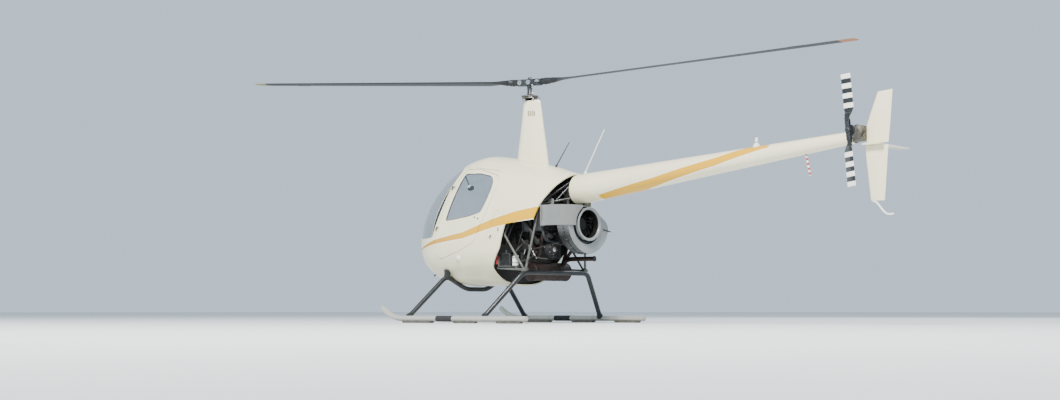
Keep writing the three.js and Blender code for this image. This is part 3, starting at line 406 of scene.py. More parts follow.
def rod(start, end, radius, end_radius=None, sides=16):
    """A straight round bar from start to end."""
    way = np.subtract(end, start)
    return lathe(start, way, [(0, radius), (np.linalg.norm(way), end_radius or radius)], sides)


def disc(start, way, thick, radius, sides=32):
    """A plain round plate as thick as given, from start along way."""
    return lathe(start, way, [(0, radius), (thick, radius)], sides)


def stand_in(points, faces):
    """A bare object of one part, for the solid cuts; it is removed afterwards."""
    mesh = bpy.data.meshes.new("cutter")
    mesh.from_pydata(points.tolist(), [], faces)
    made = bpy.data.objects.new("cutter", mesh)
    bpy.context.scene.collection.objects.link(made)
    return made


def evaluated(made):
    """A new mesh of the object with its modifiers worked out."""
    return bpy.data.meshes.new_from_object(made.evaluated_get(bpy.context.evaluated_depsgraph_get()))


def read(mesh):
    """A mesh as a part, its points and faces."""
    points = np.empty(len(mesh.vertices) * 3)
    mesh.vertices.foreach_get("co", points)
    return points.reshape(-1, 3), [list(face.vertices) for face in mesh.polygons]


def cut(part, *steps):
    """A part after solid steps: each is DIFFERENCE, INTERSECT or UNION with another part."""
    whole = stand_in(*part)
    tools = [stand_in(*other) for _, other in steps]
    for (operation, _), tool in zip(steps, tools):
        step = whole.modifiers.new(operation, "BOOLEAN")
        step.operation, step.solver, step.object = operation, "MANIFOLD", tool
    done = evaluated(whole)
    result = read(done)
    for mesh in (whole.data, *[tool.data for tool in tools], done):
        bpy.data.meshes.remove(mesh)
    return result


def less(part, *others):
    """A part with the others taken out of it."""
    return cut(part, *[("DIFFERENCE", other) for other in others])


def within(part, other, *others):
    """What a part and the next share, with the others taken out of it."""
    return cut(part, ("INTERSECT", other), *[("DIFFERENCE", more) for more in others])


def piece(name, parts, finish, body="airframe", nodes="", slot=None, normals=None, sharp=35, bevel=0,
          lining=None):
    """An object made of closed parts, given in millimetres from the mast and stored in metres. It
    rides on a body, and stands for the nodes that it names. Given the skin's normals, it is shaded
    by them, and its faces turned inwards get the lining."""
    counts = np.cumsum([0] + [len(points) for points, _ in parts])
    points = np.concatenate([points for points, _ in parts])
    faces = [[v + start for v in face] for (_, some), start in zip(parts, counts) for face in some]
    mesh = bpy.data.meshes.new(name)
    mesh.from_pydata(((points / 1000) + (MAST_X, 0, 0)).tolist(), [], faces)
    mesh.polygons.foreach_set("use_smooth", np.ones(len(mesh.polygons), bool))
    mesh.set_sharp_from_angle(angle=np.radians(sharp))
    if normals:
        corner = np.empty(len(mesh.loops), int)
        mesh.loops.foreach_get("vertex_index", corner)
        flat = np.empty(len(mesh.polygons) * 3)
        mesh.polygons.foreach_get("normal", flat)
        sizes = np.empty(len(mesh.polygons), int)
        mesh.polygons.foreach_get("loop_total", sizes)
        flat = np.repeat(flat.reshape(-1, 3), sizes, axis=0)
        true = normals(points)[corner]
        facing = np.sum(true * flat, 1, keepdims=True)
        chosen = np.where(np.abs(facing) > 0.93, true * np.sign(facing), flat)
        mesh.normals_split_custom_set(chosen.tolist())
        if lining:
            inward = facing[np.cumsum(sizes) - 1, 0] < -0.5
            mesh.polygons.foreach_set("material_index", inward.astype(int))
    for layer in (finish, lining) if lining else (finish,):
        mesh.materials.append(layer.material)
    made = bpy.data.objects.new(name, mesh)
    bpy.context.scene.collection.objects.link(made)
    if bevel:
        edge = made.modifiers.new("edges", "BEVEL")
        edge.width, edge.segments, edge.limit_method = bevel / 1000, 2, "ANGLE"
        edge.angle_limit, edge.harden_normals = np.radians(40), False
    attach(made, body)
    if nodes:
        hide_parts(*nodes.split())
    return made


def cream_enamel(name, band=None):
    """Cream gloss enamel, a little clouded, with painted olive shade, patchy like dust, low on the belly;
    band paints stripes on it.
    """
    finish = Finish(name, "body_paint", Coat_Weight=0.6, Coat_Roughness=0.06, Coat_IOR=1.5)
    cloud, fine = finish.noise(3.0, 4), finish.noise(45, 3)
    colour = finish.mix(cloud.step(0.55, 0.5) * 0.5, CREAM, CREAM_OLD)
    # Below about 0.62 m the cream goes over, in patches, to olive grey: painted shade with the olive of a
    # reflected lawn, also rougher like dust.
    belly_shade_and_dust = finish.noise(7, 5, (0.5, 1, 1)) * (1 - finish.z.step(0.62, 0.36))
    colour = finish.mix((belly_shade_and_dust * 0.9).held(), colour, OLIVE_SHADE)
    if band:
        inside, edges, yellow = band(finish)
        finish.set(Coat_Weight=0.6 - inside * 0.5)
        colour = finish.mix(inside, finish.mix(edges, colour, PALE_EDGE), yellow)
    finish.set(Base_Color=colour, Roughness=0.24 + fine * 0.1 + belly_shade_and_dust * 0.3)
    return finish.bump(finish.noise(220, 2), 0.05, 0.0004)


def waist_stripe(finish):
    """The yellow band: between two graphs of z along x, with a thin pale line at each edge; its front part is
    gold, as painted shade.
    """
    x, z = (finish.x - MAST_X) * 1000, finish.z * 1000
    top, low = finish.line(x, STRIPE_TOP), finish.line(x, STRIPE_LOW)
    inside = (top - z).step(0, 1.5) * (z - low).step(0, 1.5)
    edges = (top + 7 - z).step(0, 1.5) * (z - low + 7).step(0, 1.5)
    there = x.step(STRIPE_ENDS[0], 1) * (1 - x.step(STRIPE_ENDS[1], 1))
    # Forward of about x = 800 the band goes over from yellow to gold: painted shade on its front part.
    return inside * there, edges * there, finish.mix(x.step(800, 900), YELLOW, SHADED_GOLD)


body_enamel = cream_enamel("cream_enamel_waist", waist_stripe)
# Inner faces: near black in the cabin, which is painted shade; near black in the bay, for soot and for
# painted shade, going over to pale cream towards the cowl's rear edge.
body_lining = Finish("cabin_and_bay_lining", None)
soiled = body_lining.noise(8, 6)
bay_end = MAST_X + 0.126 - body_lining.z.step(0.812, 0.1) * 0.073
in_cabin = (body_lining.x - bay_end).step(0, 0.002)
pale_rim = ((MAST_X - 0.50) - body_lining.x + soiled * 0.06).step(0, 0.05)
bay_soot_and_shade = body_lining.mix(soiled, hue("100F0E"), hue("252220"))
bay_soot_and_shade = body_lining.mix(pale_rim, bay_soot_and_shade, hue("E4E1D2"))
body_lining.set(Base_Color=body_lining.mix(in_cabin, bay_soot_and_shade, hue("151618")), Roughness=0.6 + soiled * 0.25)
body_look = {"normals": body_normals, "lining": body_lining}
wall = less(hull(0), hull(WALL, rear=HULL_END))
doorways = [side_plate(rounded(DOOR, DOOR_CORNER), side) for side in (1, -1)]
screens = [side_plate(rounded(SCREEN, SCREEN_CORNER), side, SCREEN_POST) for side in (1, -1)]
bay = plate(rounded(ENGINE_BAY, BAY_CORNER), -BESIDE, BESIDE, 1)
behind = brick(-1300, COWL_JOIN, -BESIDE, BESIDE, 0, 2000)
mast_hole = rod((0, 0, 1600), (0, 0, 2000), MAST_HOLE, sides=40)
piece("cabin_panels", [less(wall, behind, bay, *doorways, *screens, mast_hole)], body_enamel,
      nodes="cabin_shell", **body_look)

# Rear cowl. The same skin carried back over the engine, open below and cut off obliquely in front
# of the boom. It butts on the cabin with a fine joint.
COWL_REAR = [(-497, 1000), (-497, 1116), (-551, 1281), (-640, 1440), (-742, 1600), (-742, 1900),
             (-1000, 1900), (-1000, 1000)]
ahead = brick(COWL_JOIN - 1.2, BODY[0, 0] + 100, -BESIDE, BESIDE, 0, 2000)
cowl = less(wall, ahead, plate(COWL_REAR, -BESIDE, BESIDE, 1), bay)
piece("cowl_panels", [cowl], body_enamel, nodes="rear_cowl", **body_look)

# Doors. Each is a moulded leaf that follows the cabin skin, with a fine gap all round and an
# opening for the pane. Two pin hinges on a slanted line carry its front edge, and the two small
# studs of its latch stand under the pane.
DOOR_PLAY = 5
WINDOW = [(800, 1135), (745, 1290), (690, 1450), (650, 1600), (630, 1664), (392, 1655),
          (215, 1618), (155, 1560), (142, 1470), (170, 1350), (232, 1215), (411, 1174), (620, 1150)]
WINDOW_CORNER = 40
HINGE = np.array([[952, 533, 1055], [772, 455, 1508]], float)
LATCH = [(319, 1161), (263, 1145)]
LATCH_STUD = [(0, 9), (7, 9), (10, 6), (11, 0)]
dark_fitting = paint("black_fittings", "instrument_black", "1B1C1E 2C2D30", (30,), (0.35, 0.25, 80),
                     Metallic=0.2)


def on_body(x, z, side, out=0.0):
    """The place on the skin at x and z, on the side +1 port or -1 starboard, raised by out."""
    low, top, widest, half, up, down = body_at(x)
    power, high = (up, top - widest) if z >= widest else (down, widest - low)
    y = half * max(0.0, 1 - abs((z - widest) / high) ** power) ** (1 / power)
    at = np.array([[x, side * y, z]])
    return (at + out * body_normals(at))[0]


def on_skin(x, z, side, low, high, profile, sides):
    """A turned part that stands up from the skin, its profile measured from low above it."""
    start, end = on_body(x, z, side, low), on_body(x, z, side, high)
    return lathe(start, end - start, profile, sides)


def mirrored(part, side):
    """A part kept for side +1, or mirrored across the keel with its faces turned back for -1."""
    points, faces = part
    return (points, faces) if side > 0 else (points * (1, -1, 1), [f[::-1] for f in faces])


def hinge_half(side, turn, arm):
    """The part of each hinge on one leaf: a knuckle along the line and an arm from its middle."""
    line = unit(HINGE[1] - HINGE[0]) * turn
    bars = [(1, 24, (0, 0, 0), 6.5, 20), (12, 12, arm, 5, 12)]
    return [mirrored(rod(at + line * a, at + line * b + move, radius, sides=sides), side)
            for a, b, move, radius, sides in bars for at in HINGE]


for side, where in [(1, "left"), (-1, "right")]:
    leaf = within(wall, side_plate(inset(rounded(DOOR, DOOR_CORNER), DOOR_PLAY), side),
                  side_plate(rounded(WINDOW, WINDOW_CORNER), side))
    door = "door_" + where + "_leaf"
    piece("door_leaf_" + where, [leaf], body_enamel, door, "door_" + where, **body_look)
    fittings = hinge_half(side, 1, (-34, -18, -4))
    fittings += [mirrored(on_skin(x, z, 1, -2, 9, LATCH_STUD, 20), side) for x, z in LATCH]
    piece("door_fittings_" + where, fittings, dark_fitting, door, bevel=0.8)
    piece("hinge_posts_" + where, hinge_half(side, -1, (24, -26, 4)), dark_fitting, bevel=0.8)

# Glazing. Blown acrylic sheets, clear with a faint smoke tint, set a little into the skin: one in
# each door, with a rubber strip round it, and two big ones that meet at the thin post in front.
GLASS = (5, 9)
GLASS_PLAY = 0.5
glass = Finish("clear_acrylic", "clear_glazing", Base_Color=hue("53636E"), IOR=1.45, Coat_Weight=0.4,
               Coat_Roughness=0.02)
smear = glass.noise(5, 4)
glass.set(Alpha=0.13 + smear.step(0.6, 0.5) * 0.05, Roughness=0.02 + smear * 0.05)
glass.material.surface_render_method = "BLENDED"
pane_wall = less(hull(GLASS[0]), hull(GLASS[1], rear=HULL_END))


def closed_loop(rings):
    """Rings joined round to the first again, without ends."""
    points, faces = skin(np.concatenate([rings, rings[:1]]), caps=False)
    last = rings.shape[0] * rings.shape[1]
    return points[:last], [[v % last for v in face] for face in faces]


def ribbon(outline, side, width, low, high):
    """A strip round an opening: the outline carried round the skin, from low to high above it."""
    at = np.array([on_body(x, z, side) for x, z in outline])
    out = body_normals(at)
    over = np.cross(out, unit(np.roll(at, -1, 0) - np.roll(at, 1, 0)))
    edges = [(low, -width), (high, -width), (high, width), (low, width)]
    return closed_loop(np.stack([at + out * a + over * b for a, b in edges], 1))


seal = paint("window_rubber", "body_paint", "55585A", None, (0.6, 0.2, 60))
for side, where in [(1, "left"), (-1, "right")]:
    door, edge = "door_" + where + "_leaf", rounded(WINDOW, WINDOW_CORNER)
    pane = within(pane_wall, side_plate(inset(edge, GLASS_PLAY), side))
    piece("door_pane_" + where, [pane], glass, door, "door_window_" + where, normals=body_normals)
    screen = within(pane_wall, side_plate(inset(rounded(SCREEN, SCREEN_CORNER), GLASS_PLAY), side,
                                          SCREEN_POST + GLASS_PLAY))
    piece("screen_pane_" + where, [screen], glass, nodes="windscreen_" + where, normals=body_normals)
    piece("door_seal_" + where, [ribbon(edge, side, 3, -12, 0.8)], seal, door, slot="instrument_black")

# Skin details. A drip bead over each door, the fine seam of a hatch, a slot and a small scoop behind
# the port door with dark inlays of painted shade in their openings, a blister lamp low on each side, black
# saddles where the front cross tube meets the belly, and a dark strip of painted shade in the screen post.
DRIP = [(500, 1724), (409, 1712), (260, 1692), (120, 1668)]
HATCH_SEAM = [(60, 1084), (4, 1230), (-58, 1202)]
SLOT = [(-57, 994), (-43, 994), (-39, 1034), (-53, 1034)]
SCOOP = {"front": (112, 953), "rear": (56, 941)}
BLISTER = (589, 713)
BLISTER_ROWS = [(0, 36), (5, 35), (13, 29), (19, 18), (22, 6), (22.4, 0)]
SADDLE_ROWS = [(0, 28), (5, 33), (50, 36), (62, 42), (90, 44)]
white_paint = paint("white_paint", "aerial_white", "EEEEE8", None, (0.3, 0.15, 50), Coat_Weight=0.3)


def tube(line, tangent, flat, radius, sides):
    """Circles square to the tangents of a path, as rings; flat is the direction across it that turns
    them, and the radius may be one for each point."""
    side = unit(np.cross(tangent, flat))
    other = np.cross(tangent, side)
    c, s = circle(sides)
    return line[:, None] + (c * side[:, None] + s * other[:, None]) * np.reshape(radius, (-1, 1, 1))


def bent(path, radius, sides=12, reach=None, parts=6, ends=1.0):
    """A round tube along a path whose corners are bent as parabolas that start `reach` from the
    corner. Circles stand square to the path, turned from the flattest direction across it."""
    at = np.array(path, float)
    reach = reach or 3 * radius
    before, after = at[:-2] - at[1:-1], at[2:] - at[1:-1]
    near = [at[1:-1] + way * np.minimum(0.45, reach / np.linalg.norm(way, axis=1, keepdims=True))
            for way in (before, after)]
    line = np.concatenate([at[:1], bends(near[0], at[1:-1], near[1], parts).reshape(-1, 3), at[-1:]])
    tangent = unit(np.gradient(line, axis=0))
    flat = np.linalg.svd(tangent)[2][-1] if len(path) > 2 else np.eye(3)[np.argmin(np.abs(tangent[0]))]
    grow = np.ones(len(line))
    grow[[0, -1]] = ends
    return skin(tube(line, tangent, flat, radius * grow, sides))


def skin_bead(places, side, radius):
    """A fine round bead along the skin through places given as x and z, with 9 points a run."""
    at = np.array(places, float)
    run = np.linspace(0, len(at) - 1, 9 * len(at))
    x, z = (np.interp(run, np.arange(len(at)), at[:, k]) for k in (0, 1))
    return bent([on_body(a, b, side, 0.2) for a, b in zip(x, z)], radius, 8, parts=2)


piece("drip_beads", [skin_bead(DRIP, side, 2.2) for side in (1, -1)], seal)
piece("hatch_seam", [skin_bead(HATCH_SEAM, 1, 1.1)], seal)
# The slot is a thin dark inlay on the skin: painted shade for an opening.
slot = within(hull(-0.7), plate(rounded(SLOT, 5), 400, BESIDE, 1), hull(4))
scoop_front, scoop_rear = on_body(*SCOOP["front"], 1, -4), on_body(*SCOOP["rear"], 1, -1)
scoop_way = scoop_rear - scoop_front
scoop_long = np.linalg.norm(scoop_way)
scoop = lathe(scoop_front, scoop_way, [(0, 3), (12, 9), (scoop_long - 8, 23), (scoop_long, 23.5)], 28)
# The scoop's mouth is closed by a dark disc: painted shade inside it.
scoop_mouth_shade = lathe(scoop_rear, scoop_way, [(-4, 20), (0.4, 21.5)], 28)
blisters = [on_skin(*BLISTER, side, -2, 30, BLISTER_ROWS, 36) for side in (1, -1)]
saddles = [less(lathe((869, side * 452, 500), (-13, side * -12, 80), SADDLE_ROWS, 28), hull(0.5))
           for side in (1, -1)]
piece("shaded_slot_and_saddles", [slot, scoop_mouth_shade, *saddles], dark_fitting)
piece("scoop_and_blisters", [scoop, *blisters], white_paint, slot="body_paint")
# A dark strip inside the wall at the screen post: painted shade on the post as seen from inside the cabin.
post = brick(760, 1590, -SCREEN_POST - 3, SCREEN_POST + 3, 960, 1900)
post_shade_strip = cut(hull(WALL + 0.5), ("DIFFERENCE", hull(WALL + 4, rear=HULL_END)), ("INTERSECT", post))
piece("screen_post_shade_strip", [post_shade_strip], dark_fitting, slot="cabin_trim")

# Mast fairing. A tapered moulding in cream enamel that hides the mast, seated on the cabin roof,
# with five upright louvres near the top of each side.
FAIRING = np.array([[1730, -285, 180, 118], [1900, -258, 160, 105], [2150, -212, 122, 85],
                    [2380, -172, 92, 68], [2450, -160, 76, 62], [2468, -158, 50, 56]], float)
FAIRING_WALL = 5
RIM_LOW, RIM_HIGH = 2440, 2466
LOUVRES = {"first": -30, "apart": 26, "half": 7, "low": 2285, "high": 2345}
plain_enamel = cream_enamel("cream_enamel")


def fairing_rings(z, grow, around=64):
    """Sections: x across rear and front, y is half sin a times (0.8 + 0.2 cos a)."""
    rear, front, half = (np.interp(z, FAIRING[:, 0], FAIRING[:, k])[:, None] for k in (1, 2, 3))
    a = 2 * np.pi * np.arange(around)[None] / around
    x = (rear + front) / 2 + ((front - rear) / 2 + grow) * np.cos(a)
    y = (half + grow) * np.sin(a) * (0.8 + 0.2 * np.cos(a))
    return np.stack([x, y, np.broadcast_to(z[:, None], x.shape)], -1)


heights = np.concatenate([np.linspace(1730, RIM_LOW, 30), np.linspace(2446, RIM_HIGH, 6)])
rim = np.where(heights > RIM_LOW, (heights - RIM_LOW) / (RIM_HIGH - RIM_LOW), 0)[:, None, None]
rings = fairing_rings(heights, 0.0)
centre = rings.mean(1, keepdims=True) * (1, 1, 0) + rings * (0, 0, 1)
rings = rings + (centre - rings) * (rim ** 2 * 0.10)
fairing = less(skin(rings), skin(fairing_rings(np.linspace(1600, 2458, 20), -FAIRING_WALL)), hull(-0.5),
               rod((0, 0, 2400), (0, 0, 2500), 39, sides=40))
slots = []
for side in (1, -1):
    for k in range(5):
        x = LOUVRES["first"] - LOUVRES["apart"] * k
        slots.append(brick(x - LOUVRES["half"], x + LOUVRES["half"], side * 85 - 45, side * 85 + 45,
                           LOUVRES["low"], LOUVRES["high"]))
piece("mast_cover", [less(fairing, *slots)], plain_enamel, nodes="mast_fairing")

# Tail boom. Rolled alloy bays joined under narrow bands into one long cone, with a wide hole in its
# front wall and painted as the cabin; a yellow band climbs from under the boom to its back.
BOOM = {"x0": -746, "z0": 1440, "r0": 163, "x1": -4325, "z1": 1779, "r1": 60}
BAYS = [-1040, -1620, -2180, -2720, -3260, -3790, -4250]
BOOM_BAND = [(-1150, -0.98), (-1900, -0.62), (-2700, 0.05), (-3300, 0.95)]
BAND_WIDTH = [(-3340, 0.42), (-1120, 0.26)]


def boom_line(x):
    """Height of the boom's middle and its radius at x, both straight between the two ends."""
    t = (x - BOOM["x0"]) / (BOOM["x1"] - BOOM["x0"])
    return BOOM["z0"] + t * (BOOM["z1"] - BOOM["z0"]), BOOM["r0"] + t * (BOOM["r1"] - BOOM["r0"])


def boom_tube(x, grow, around=64):
    """Circles square to x round the boom's middle, larger than it by grow, as a solid."""
    x = np.array(x, float)
    z, r = boom_line(x)
    a = 2 * np.pi * np.arange(around)[None] / around
    r = (r + grow)[:, None]
    return skin(np.stack([np.broadcast_to(x[:, None], (len(x), around)), r * np.cos(a),
                          z[:, None] + r * np.sin(a)], -1))


def boom_stripe(finish):
    """The band on the boom: by height over the radius, climbing as x goes aft."""
    x = (finish.x - MAST_X) * 1000
    middle, radius = boom_line(x)
    lift = (finish.z * 1000 - middle) / radius
    off = finish.node("Math", {"operation": "ABSOLUTE"}, [lift - finish.line(x, BOOM_BAND)])
    there = (x - BAND_WIDTH[0][0]).step(0, 2) * (BAND_WIDTH[1][0] - x).step(0, 2)
    width = finish.line(x, BAND_WIDTH)
    inside, edge = (width - off).step(0, 0.02), (width + 0.06 - off).step(0, 0.02)
    return inside * there, edge * there, YELLOW


front_opening = rod((-700, 0, BOOM["z0"]), (-757, 0, BOOM["z0"]), 100, sides=48)
boom = less(boom_tube(np.linspace(BOOM["x0"], BOOM["x1"], 60), 0), front_opening,
            boom_tube([-757, BOOM["x1"] - 9], -4))
bands = [less(boom_tube([x - 14, x - 12, x + 12, x + 14], [0.2, 0.9, 0.9, 0.2]),
              boom_tube([x - 60, x + 60], -3)) for x in BAYS]
piece("boom_skin", [boom, *bands], cream_enamel("cream_enamel_boom", boom_stripe), nodes="tail_boom",
      slot="boom_paint")

# Fins and stabiliser. Alloy skins folded over ribs to a thin streamlined section, cream like the
# rest: one fin above and one below the boom's end, and a flat plane that sticks out to starboard.
TOP_FIN = [((-4452.4, 0, 1711.6), (-4693, 0, 1711.6), 15), ((-4452.4, 0, 1881), (-4713, 0, 1884), 15),
           ((-4576, 0, 2182), (-4743, 0, 2197), 11), ((-4581, 0, 2190), (-4744, 0, 2203), 8),
           ((-4588, 0, 2193), (-4742, 0, 2206), 2)]
LOW_FIN = [((-4440, 0, 1688.4), (-4691, 0, 1688.4), 15), ((-4437, 0, 1644), (-4687, 0, 1644), 15),
           ((-4493, 0, 1174), (-4646, 0, 1174), 11), ((-4496, 0, 1168), (-4645, 0, 1168), 8),
           ((-4502, 0, 1166), (-4640, 0, 1166), 2)]
SIDE_PLANE = [((-4438, 74, 1700), (-4662, 74, 1700), 3), ((-4434, 68, 1700), (-4663, 68, 1700), 11),
              ((-4361, -668, 1700), (-4526, -636, 1700), 8), ((-4361, -680, 1700), (-4525, -643, 1700), 6),
              ((-4364, -685, 1700), (-4522, -646, 1700), 2)]
THICKNESS_CURVE = (0.2969, -0.126, -0.3516, 0.2843, -0.1015)


def foil_share(count=22):
    """A streamlined section from its tail over the top to the nose and back below: the share of the
    chord from the nose, and of the half thickness (the usual five-term thickness curve)."""
    turn = np.linspace(0, 2 * np.pi, 2 * count, endpoint=False)
    along = (1 + np.cos(turn)) / 2
    thick = sum(term * along ** power for term, power in zip(THICKNESS_CURVE, (0.5, 1, 2, 3, 4))) / 0.1
    return along[:, None], (thick * np.sign(np.round(np.sin(turn), 9)))[:, None]


def vane(rows, over):
    """A vane through rows of (nose, tail, half thickness), thick along the direction over."""
    along, thick = foil_share()
    return skin(np.stack([np.array(a, float) + np.subtract(b, a) * along + over * half * thick
                          for a, b, half in rows]))


for name, rows, over, node in [("fin_skin_upper", TOP_FIN, PORT, "fin_upper"),
                               ("fin_skin_lower", LOW_FIN, PORT, "fin_lower"),
                               ("side_plane", SIDE_PLANE, UP, "stabilizer")]:
    piece(name, [vane(rows, over)], plain_enamel, nodes=node)

# Tail guard. A bent tube pushed into the foot of the lower fin keeps the tail off the ground.
guard = bent([(-4525, 0, 1165.6), (-4560, 0, 1148), (-4658, 0, 1034), (-4743, 0, 1037)], 9, 16, 60, 8)
piece("tail_guard", [guard, rod((-4521, 0, 1165.5), (-4530, 0, 1158), 12, sides=20)], white_paint,
      nodes="tail_bumper")

# Beacon, aerials and rod. A slim clear lamp on a white cone stands on the boom; a white whip in a
# plastic foot rises from its front end and a dark one from the cowl; a banded rod hangs below.
BEACON_X = -3150
BEACON_FOOT = [(-26, 37), (3, 37), (8, 35), (34, 20), (38, 17)]
BEACON_LENS = [(36, 13), (38, 15), (50, 15.5), (82, 15), (90, 11), (93, 5), (93.5, 0)]
BEACON_CLIPS = [([(38.5, 16.4), (43, 16.4)], 28), ([(91, 9), (95, 8), (95.5, 2)], 20)]
WHIP = [(0, 8), (60, 7), (500, 5.2), (519, 4.6), (522, 2)]
DARK_WHIP = [(0, 14), (40, 12), (54, 7), (60, 6), (345, 4), (350, 2)]
BAND_PITCH, BAND_TOP = 47, 1660
lamp_glass = paint("clear_lamp", "lamp_clear", "DCE6EA F6FAFA", (60,), (0.12, 0.1, 90), Coat_Weight=1.0,
                   Coat_Roughness=0.03)
lamp_glass.bump(lamp_glass.node("Math", {"operation": "SINE"}, [lamp_glass.z * 1300]), 0.4, 0.0006)


def on_boom(profile, sides=32):
    """A turned part on the upright line of the beacon, its profile measured up from the boom's skin."""
    return lathe((BEACON_X, 0, sum(boom_line(BEACON_X))), UP, profile, sides)


foot = less(on_boom(BEACON_FOOT), boom_tube([BEACON_X - 100, BEACON_X + 100], 0.2))
piece("beacon_foot", [foot], white_paint, nodes="beacon", slot="boom_paint")
piece("beacon_lens", [on_boom(BEACON_LENS, 28)], lamp_glass)
piece("beacon_clip", [on_boom(profile, sides) for profile, sides in BEACON_CLIPS], dark_fitting)
whip_foot = less(lathe((-830, 0, 1596), (-18, 0, 46), [(0, 19), (22, 18), (34, 13), (46, 9)], 24),
                 boom_tube([-900, -760], 0.3))
piece("whip_white", [whip_foot, lathe((-840, 0, 1630), (-276, 0, 443), WHIP, 16)], white_paint,
      nodes="antenna_white")
piece("whip_dark", [less(lathe((-384, 0, 1690), (-216, 0, 276), DARK_WHIP, 16), hull(-0.4))], dark_fitting,
      nodes="antenna_dark", slot="aerial_dark")
rod_paint = Finish("banded_rod", "rod_red", Coat_Weight=0.3)
band = ((BAND_TOP - rod_paint.z * 1000) / BAND_PITCH).past_whole()
rod_paint.set(Base_Color=rod_paint.mix(band.step(0.5, 0.04), hue("C02A24"), hue("F3F1EC")),
              Roughness=0.35 + rod_paint.noise(70) * 0.15)
hanging = less(lathe((-3740, 0, 1690), (-58, 0, -250), [(0, 10.5), (250, 10.5), (255.5, 7)], 20),
               boom_tube([-3850, -3700], 0.3))
piece("banded_rod", [hanging], rod_paint, nodes="striped_rod")

# Tail gearbox. A cast alloy angle drive bolted on the boom's end: barrel, cooling ribs, filler cap
# and the long nose that carries the tail rotor shaft.
TAIL = {"x": -4390, "y": 210, "z": 1830, "tilt": 6.0}
BARREL = [(0, 60), (9, 60), (11, 52), (60, 50), (96, 50), (104, 44), (123, 40)]
DRIVE_CASE = [(0, 34), (3, 44), (12, 46), (14, 56), (22, 56), (24, 50), (50, 54), (118, 54), (124, 60),
              (140, 60), (144, 48), (152, 36)]
DRIVE_NOSE = [(0, 36), (10, 30), (52, 27), (56, 30), (61, 30)]
cast_alloy = paint("cast_alloy", "bare_alloy", "3A3731 8A877D", (18, 5), (0.42, 0.3, 120),
                   (400, 2, 0.25, 0.0004), Metallic=0.75)
bright_steel = paint("bright_steel", "hub_steel", "B4B7BA DADCDD", (60,), (0.2, 0.2, 150), Metallic=1.0)


def bolts(centre, along, ring, count, size, high, start=0.0):
    """Hexagon bolt heads round a circle of radius ring, square to the direction along."""
    side, other = across(np.array(along, float))
    made = []
    for k in range(count):
        angle = 2 * np.pi * (k + start) / count
        at = np.array(centre, float) + ring * (np.cos(angle) * side + np.sin(angle) * other)
        made.append(lathe(at, along, [(-1, size), (high * 0.85, size), (high, size * 0.8)], 6))
    return made


def axle(start, profile, sides=40):
    """A turned part on the tail rotor's shaft, from y = start out to port."""
    return lathe((TAIL["x"], start, TAIL["z"]), PORT, profile, sides)


case = [lathe((-4326.8, 0, BOOM["z1"]), (-123.2, 0, 8), BARREL, 40), axle(-60, DRIVE_CASE),
        axle(88, DRIVE_NOSE, 32), brick(-4452, -4400, -18, 18, 1737, 1878)]
case += [axle(-20 + 13 * k, [(0, 59.5), (3, 59.5)]) for k in range(7)]
piece("tail_drive_case", case, cast_alloy, nodes="tail_gearbox", bevel=1.2)
nuts = bolts((-4335, 0, 1779.6), (-0.998, 0, 0.065), 56, 8, 4.5, 6)
nuts += bolts((TAIL["x"], -46.5, TAIL["z"]), -PORT, 51, 8, 4, 5)
nuts += bolts((TAIL["x"], 82, TAIL["z"]), PORT, 54, 8, 4, 5, 0.5)
nuts += [lathe((TAIL["x"] + 8, 40, 1880), UP, [(0, 15), (14, 15), (16, 12), (20, 12)], 6)]
piece("tail_drive_bolts", nuts, bright_steel)

# Tail rotor. Two hollow alloy blades in a flat steel yoke, glossy black with white bars across them,
# and two short links that change their pitch. It turns with the main rotor through the gearing.
TAIL_BLADE = [(100, 34, 22, 0), (130, 44, 16, 6), (160, 74, 15, 7), (205, 102, 14, 8), (400, 102, 13, 7),
              (527, 102, 12, 6), (532, 98, 7, 6), (533, 92, 2, 6)]
BARS = {"root": 160, "pitch": 93.25}
YOKE_SHAFT = [(0, 18), (60, 18), (62, 24), (84, 24), (88, 16), (93, 16)]
LINK_EYE = [(0, 5), (2, 8), (14, 8), (16, 5)]
PIN = [(0, 6), (6, 9), (12, 9), (12.1, 6), (38, 6), (38.1, 9), (44, 6)]
tilt = np.radians(TAIL["tilt"])
tail_up = np.array([np.sin(tilt), 0, np.cos(tilt)])
tail_fore = np.array([np.cos(tilt), 0, -np.sin(tilt)])


def tail_place(points, turn=1):
    """Places along (the blade's run, outboard, its chord) brought to the rotor's tilted plane."""
    points = np.asarray(points, float)
    return (np.array([TAIL["x"], TAIL["y"], TAIL["z"]]) + turn * points[..., :1] * tail_up
            + points[..., 1:2] * PORT + turn * points[..., 2:] * tail_fore)


def tail_bar(runs, low, high, half, turn=1):
    """A bar along a blade: at each (place, share) a section from low to high outboard, half wide."""
    return skin(tail_place(np.array([[(a, y * b, z * b) for y, z in
                                      [(high, -half), (high, half), (low, half), (low, -half)]]
                                     for a, b in runs]), turn))


def foil_rings(table, stations, camber=0.38):
    """Blade sections at each radius: chord and thickness scale the streamlined section, set at the
    pitch angle; where the blade is nearly as thick as wide the section goes over into a circle."""
    table = np.array(table, float)
    r = np.interp(np.linspace(0, 1, stations), np.linspace(0, 1, len(table)), table[:, 0])
    chord, thick, pitch = (np.interp(r, table[:, 0], table[:, k])[:, None] for k in (1, 2, 3))
    along, half = (share.T for share in foil_share())
    turn = np.linspace(0, 2 * np.pi, along.shape[1], endpoint=False)[None]
    near = np.clip((thick / chord - 0.2) / 0.6, 0, 1)
    u = chord * ((0.25 - along) * (1 - near) - 0.5 * np.cos(turn) * near)
    w = thick * (np.where(half > 0, 0.5, camber) * half * (1 - near) + 0.5 * np.sin(turn) * near)
    c, s = np.cos(np.radians(pitch)), np.sin(np.radians(pitch))
    return np.stack([np.broadcast_to(r[:, None], u.shape), u * c - w * s, u * s + w * c], -1)


